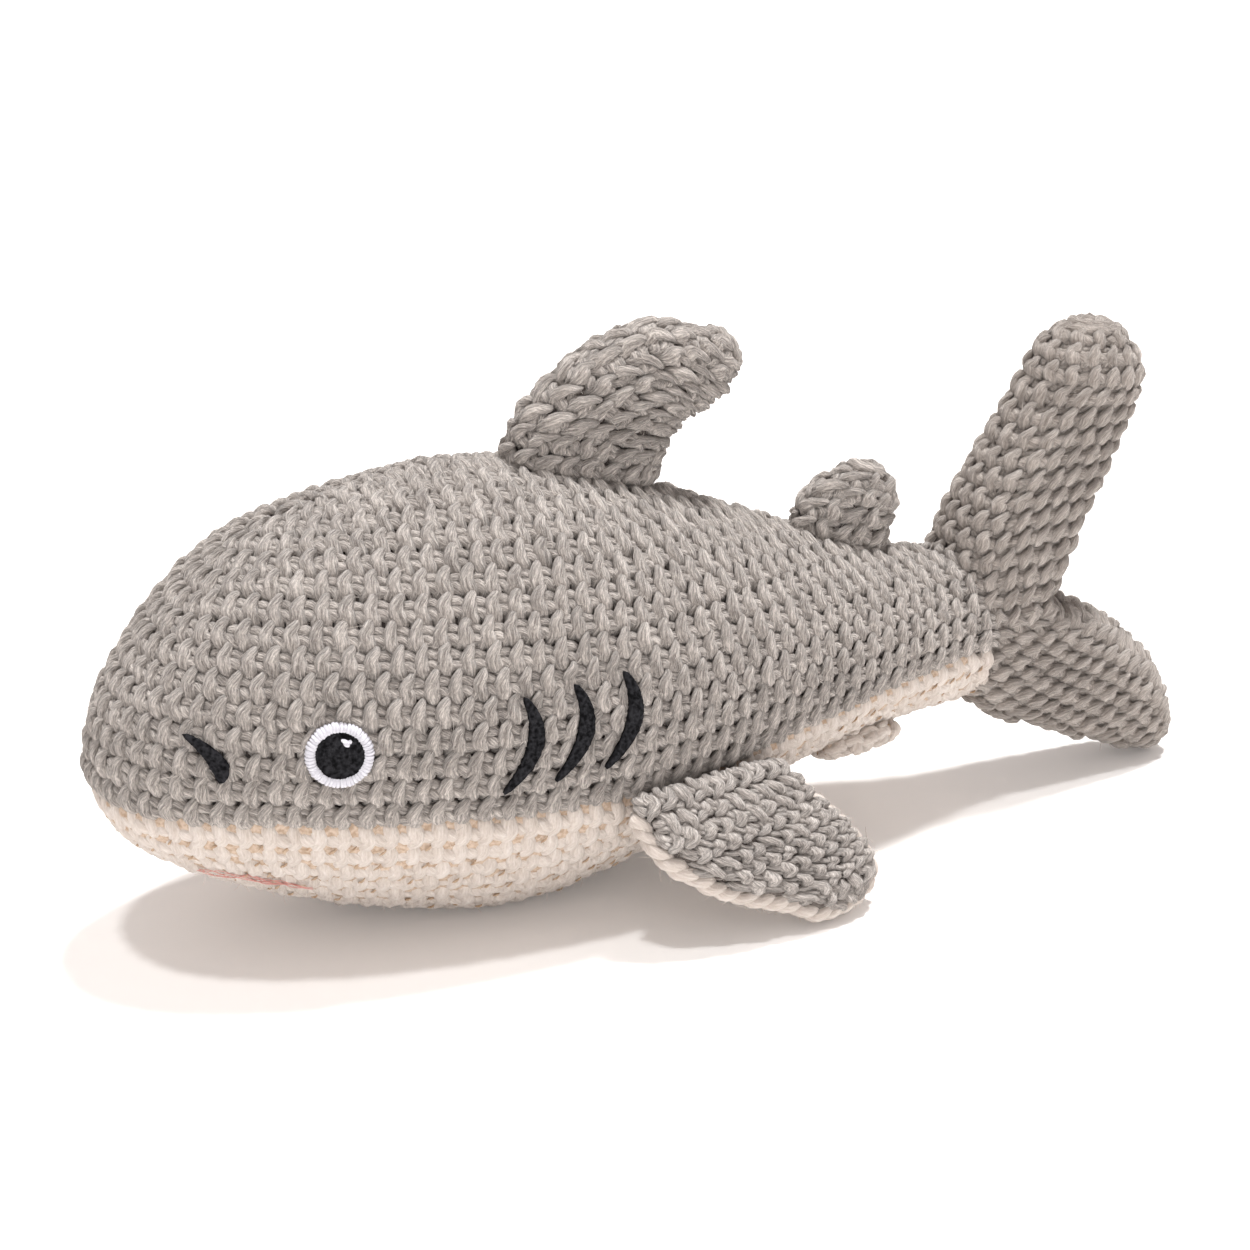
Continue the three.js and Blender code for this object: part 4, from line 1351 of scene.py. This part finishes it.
for side, side_name in ((-1, "left"), (1, "right")):
    fin = PECTORAL_FIN
    body = f"{side_name}_pectoral_fin"
    rows = side_fin_rows(fin_rows(fin, *fin["rows"], TOP_ARC, TOP_END), fin, side)
    # The tops take the lighter copy of the grey yarn: painted light where they face up.
    top = fin_piece(f"{body}_top_stitches", rows, PAINTED_LIT_GREY, loose_kinds, lift=TOP_LIFT)
    rows = side_fin_rows(fin_rows(fin, *fin["under_rows"], UNDER_ARC), fin, side)
    under = fin_piece(f"{body}_underside_stitches", rows, CREAM, cream_kinds, lift=UNDER_LIFT)
    hint = np.cross(fin["outward"], fin["along"]) * (1, side, 1)
    edge = cord_round(f"{body}_edge_cord", pectoral_rim(fin, side), hint, CREAM)
    top_fuzz = side_fin_fuzz(f"{body}_top_fuzz", top, GREY)
    edge_fuzz = side_fin_fuzz(f"{body}_edge_fuzz", edge, CREAM)
    # The core's dark grey is painted shade between the fin's stitches.
    core = side_fin_core(f"{body}_core", fin, side, GREY_SHADE_GROUND, PECTORAL_CORE)
    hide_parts(f"{body}_top")
    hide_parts(f"{body}_underside")
    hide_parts(f"{body}_filling")
    for part, slot in (
        (top, "grey_yarn"), (top_fuzz, "grey_yarn"), (under, "cream_yarn"),
        (edge, "cream_yarn"), (edge_fuzz, "cream_yarn"), (core, "grey_yarn"),
    ):
        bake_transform(part)

    fin = PELVIC_FIN
    body = f"{side_name}_pelvic_fin"
    rows = side_fin_rows(fin_rows(fin, *fin["rows"]), fin, side)
    lobe = fin_piece(f"{body}_stitches", rows, CREAM, cream_kinds, lift=UNDER_LIFT)
    fuzz = side_fin_fuzz(f"{body}_fuzz", lobe, CREAM)
    coil = tip_coil(f"{body}_tip", fin, CREAM, side)
    # The core's tan is painted shade between the lobe's cream stitches.
    core = side_fin_core(f"{body}_core", fin, side, CREAM_SHADE_GROUND, PELVIC_CORE)
    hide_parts(body)
    for part in (lobe, fuzz, coil, core):
        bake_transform(part)

# ---- Face

for side, side_name in ((-1, "left"), (1, "right")):
    x, z, radius = eye_lines[side_name]
    low, high = box_of(f"{side_name}_eye_pupil")
    pupil_radius = (high[2] - low[2]) / 2
    ring = satin_ring(
        f"{side_name}_eye_ring", x, z, side,
        pupil_radius - RING_INSIDE, radius - RING_CLEARANCE, THREADS, WHITE,
    )
    pupil = domed_disc(
        f"{side_name}_eye_disc", x, z, side,
        pupil_radius + DISC_GROW, DISC_LOW, EYE_HEIGHT + DISC_RISE, FELT,
    )
    low, high = box_of(f"{side_name}_eye_highlight")
    shine_x, _, shine_z = (low + high) / 2
    spread = np.linspace(-0.5, 0.5, 5)
    knots = []
    for across, up, radius in SHINE_KNOTS:
        points, out = side_point(shine_x + across + spread * 0.6, shine_z + up + spread, side)
        bulge = radius * np.sqrt(np.maximum(1 - (spread * 1.9) ** 2, 0.02))
        knots.append(strand_tube(points + out * (EYE_HEIGHT + KNOT_RISE), bulge, 8))
    shine = joined(f"{side_name}_eye_knot", knots, WHITE)
    pieces = [
        (ring, "eye_patch", "white_thread"),
        (pupil, "eye_pupil", "black_felt"),
        (shine, "eye_highlight", "white_thread"),
    ]
    for node_name, width, thickest in (
        ("nostril", NOSTRIL_WIDTH, 0.62), ("gill_slit_1", GILL_WIDTH, 0.5),
        ("gill_slit_2", GILL_WIDTH, 0.5), ("gill_slit_3", GILL_WIDTH, 0.5),
    ):
        line = felt_lines[f"{side_name}_{node_name}"]
        felt = crescent(f"{side_name}_{node_name}_felt", line, width, thickest, side, FELT)
        pieces.append((felt, node_name, "black_felt"))
    for piece, node_name, slot in pieces:
        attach(piece, BODY)
        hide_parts(f"{side_name}_{node_name}")

mouth_low, mouth_high = box_of("mouth_stitching")
mouth_parts = []
for side in (-1, 1):
    for i in range(MOUTH_STRANDS):
        start = MOUTH_START + random.uniform(0, MOUTH_SHORTER) * (i > 1)
        end = 1.0 - random.uniform(0, MOUTH_SHORTER) * (i > 0)
        share = np.linspace(start, end, MOUTH_POINTS)
        reach = smooth_value(MOUTH_BACK, share, MOUTH_PLACES)
        x = mouth_low[0] + (mouth_high[0] - mouth_low[0]) * reach
        z = mouth_high[2] - (mouth_high[2] - mouth_low[2]) * share**MOUTH_FALL
        y = side * mouth_high[1] * smooth_value(MOUTH_OUT, share, MOUTH_PLACES)
        wave = random.uniform(0, 6)
        z = z + np.sin(MOUTH_WAVES[0] * share + wave) + np.sin(MOUTH_WAVES[1] * share + 2 * wave)
        z = z + random.normal(0, MOUTH_SPREAD)
        height = MOUTH_HEIGHT + MOUTH_WEAVE * np.sin(MOUTH_WAVES[2] * share + wave)
        line = onto_body(np.stack([x, y, z], 1), height)
        radii = np.full(MOUTH_POINTS, random.uniform(*MOUTH_RADII))
        mouth_parts.append(strand_tube(line, radii, 6))
mouth = joined("mouth_stitches", mouth_parts, RED)
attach(mouth, BODY)
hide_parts("mouth_stitching")

# ---- Floor, light and camera

FLOOR_SIZE = 40.0  # in metres
FLOOR_GLOW = 0.06
WORLD_COLOUR = (1.0, 0.92, 0.89, 1)
WORLD_STRENGTH = 0.55
floor_points = np.array([(-1, -1, 0), (1, -1, 0), (1, 1, 0), (-1, 1, 0)]) * FLOOR_SIZE / 2 / MM
floor_material, _, floor_shader = rough_material("floor", 0.9, 0.5)
floor_shader.inputs["Base Color"].default_value = shader_colour(FLOOR_COLOUR)
floor_shader.inputs["Emission Color"].default_value = (1, 1, 1, 1)
floor_shader.inputs["Emission Strength"].default_value = FLOOR_GLOW
floor = mesh_object("floor", floor_points - (0, 0, 0.05), np.array([(0, 1, 2, 3)]), floor_material)

world = bpy.data.worlds.new("studio")
bpy.context.scene.world = world
world.use_nodes = True
background = world.node_tree.nodes["Background"]
background.inputs["Color"].default_value = WORLD_COLOUR
background.inputs["Strength"].default_value = WORLD_STRENGTH
bpy.context.scene.view_settings.view_transform = "Standard"


def place_light(name, kind, place, aim, energy):
    light = bpy.data.lights.new(name, kind)
    light.energy = energy
    lamp = bpy.data.objects.new(name, light)
    lamp.location = place
    lamp.rotation_euler = (Vector(aim) - Vector(place)).to_track_quat("-Z", "Y").to_euler()
    bpy.context.scene.collection.objects.link(lamp)
    return light


# Two broad, far lights. The floor is pale grey where only the weaker one reaches it.
key = place_light("key", "SUN", (0.34, 0.14, 1.4), (0, 0, 0), 3.6)
key.angle = math.radians(8)
second = place_light("second_key", "SUN", (-0.22, -0.16, 1.4), (0, 0, 0), 1.15)
second.angle = math.radians(5)
fill = place_light("fill", "AREA", (-0.5, -1.2, 0.5), (0, 0, 0.05), 4.5)
fill.shape = "DISK"
fill.size = 1.4

CAMERA_AZIMUTH = math.radians(-25.44)
CAMERA_ELEVATION = math.radians(20.27)
CAMERA_DISTANCE = 0.7885
CAMERA_LENS = 77.23
CAMERA_SENSOR = 36.0
CAMERA_TARGET = Vector((-0.01984, 0, 0.07342))
back_vector = Vector((
    math.sin(CAMERA_AZIMUTH) * math.cos(CAMERA_ELEVATION),
    -math.cos(CAMERA_AZIMUTH) * math.cos(CAMERA_ELEVATION),
    math.sin(CAMERA_ELEVATION),
))
camera_data = bpy.data.cameras.new("camera")
camera_data.lens = CAMERA_LENS
camera_data.sensor_width = CAMERA_SENSOR
camera = bpy.data.objects.new("camera", camera_data)
camera.location = CAMERA_TARGET + back_vector * CAMERA_DISTANCE
camera.rotation_euler = (-back_vector).to_track_quat("-Z", "Y").to_euler()
bpy.context.scene.collection.objects.link(camera)
bpy.context.scene.camera = camera
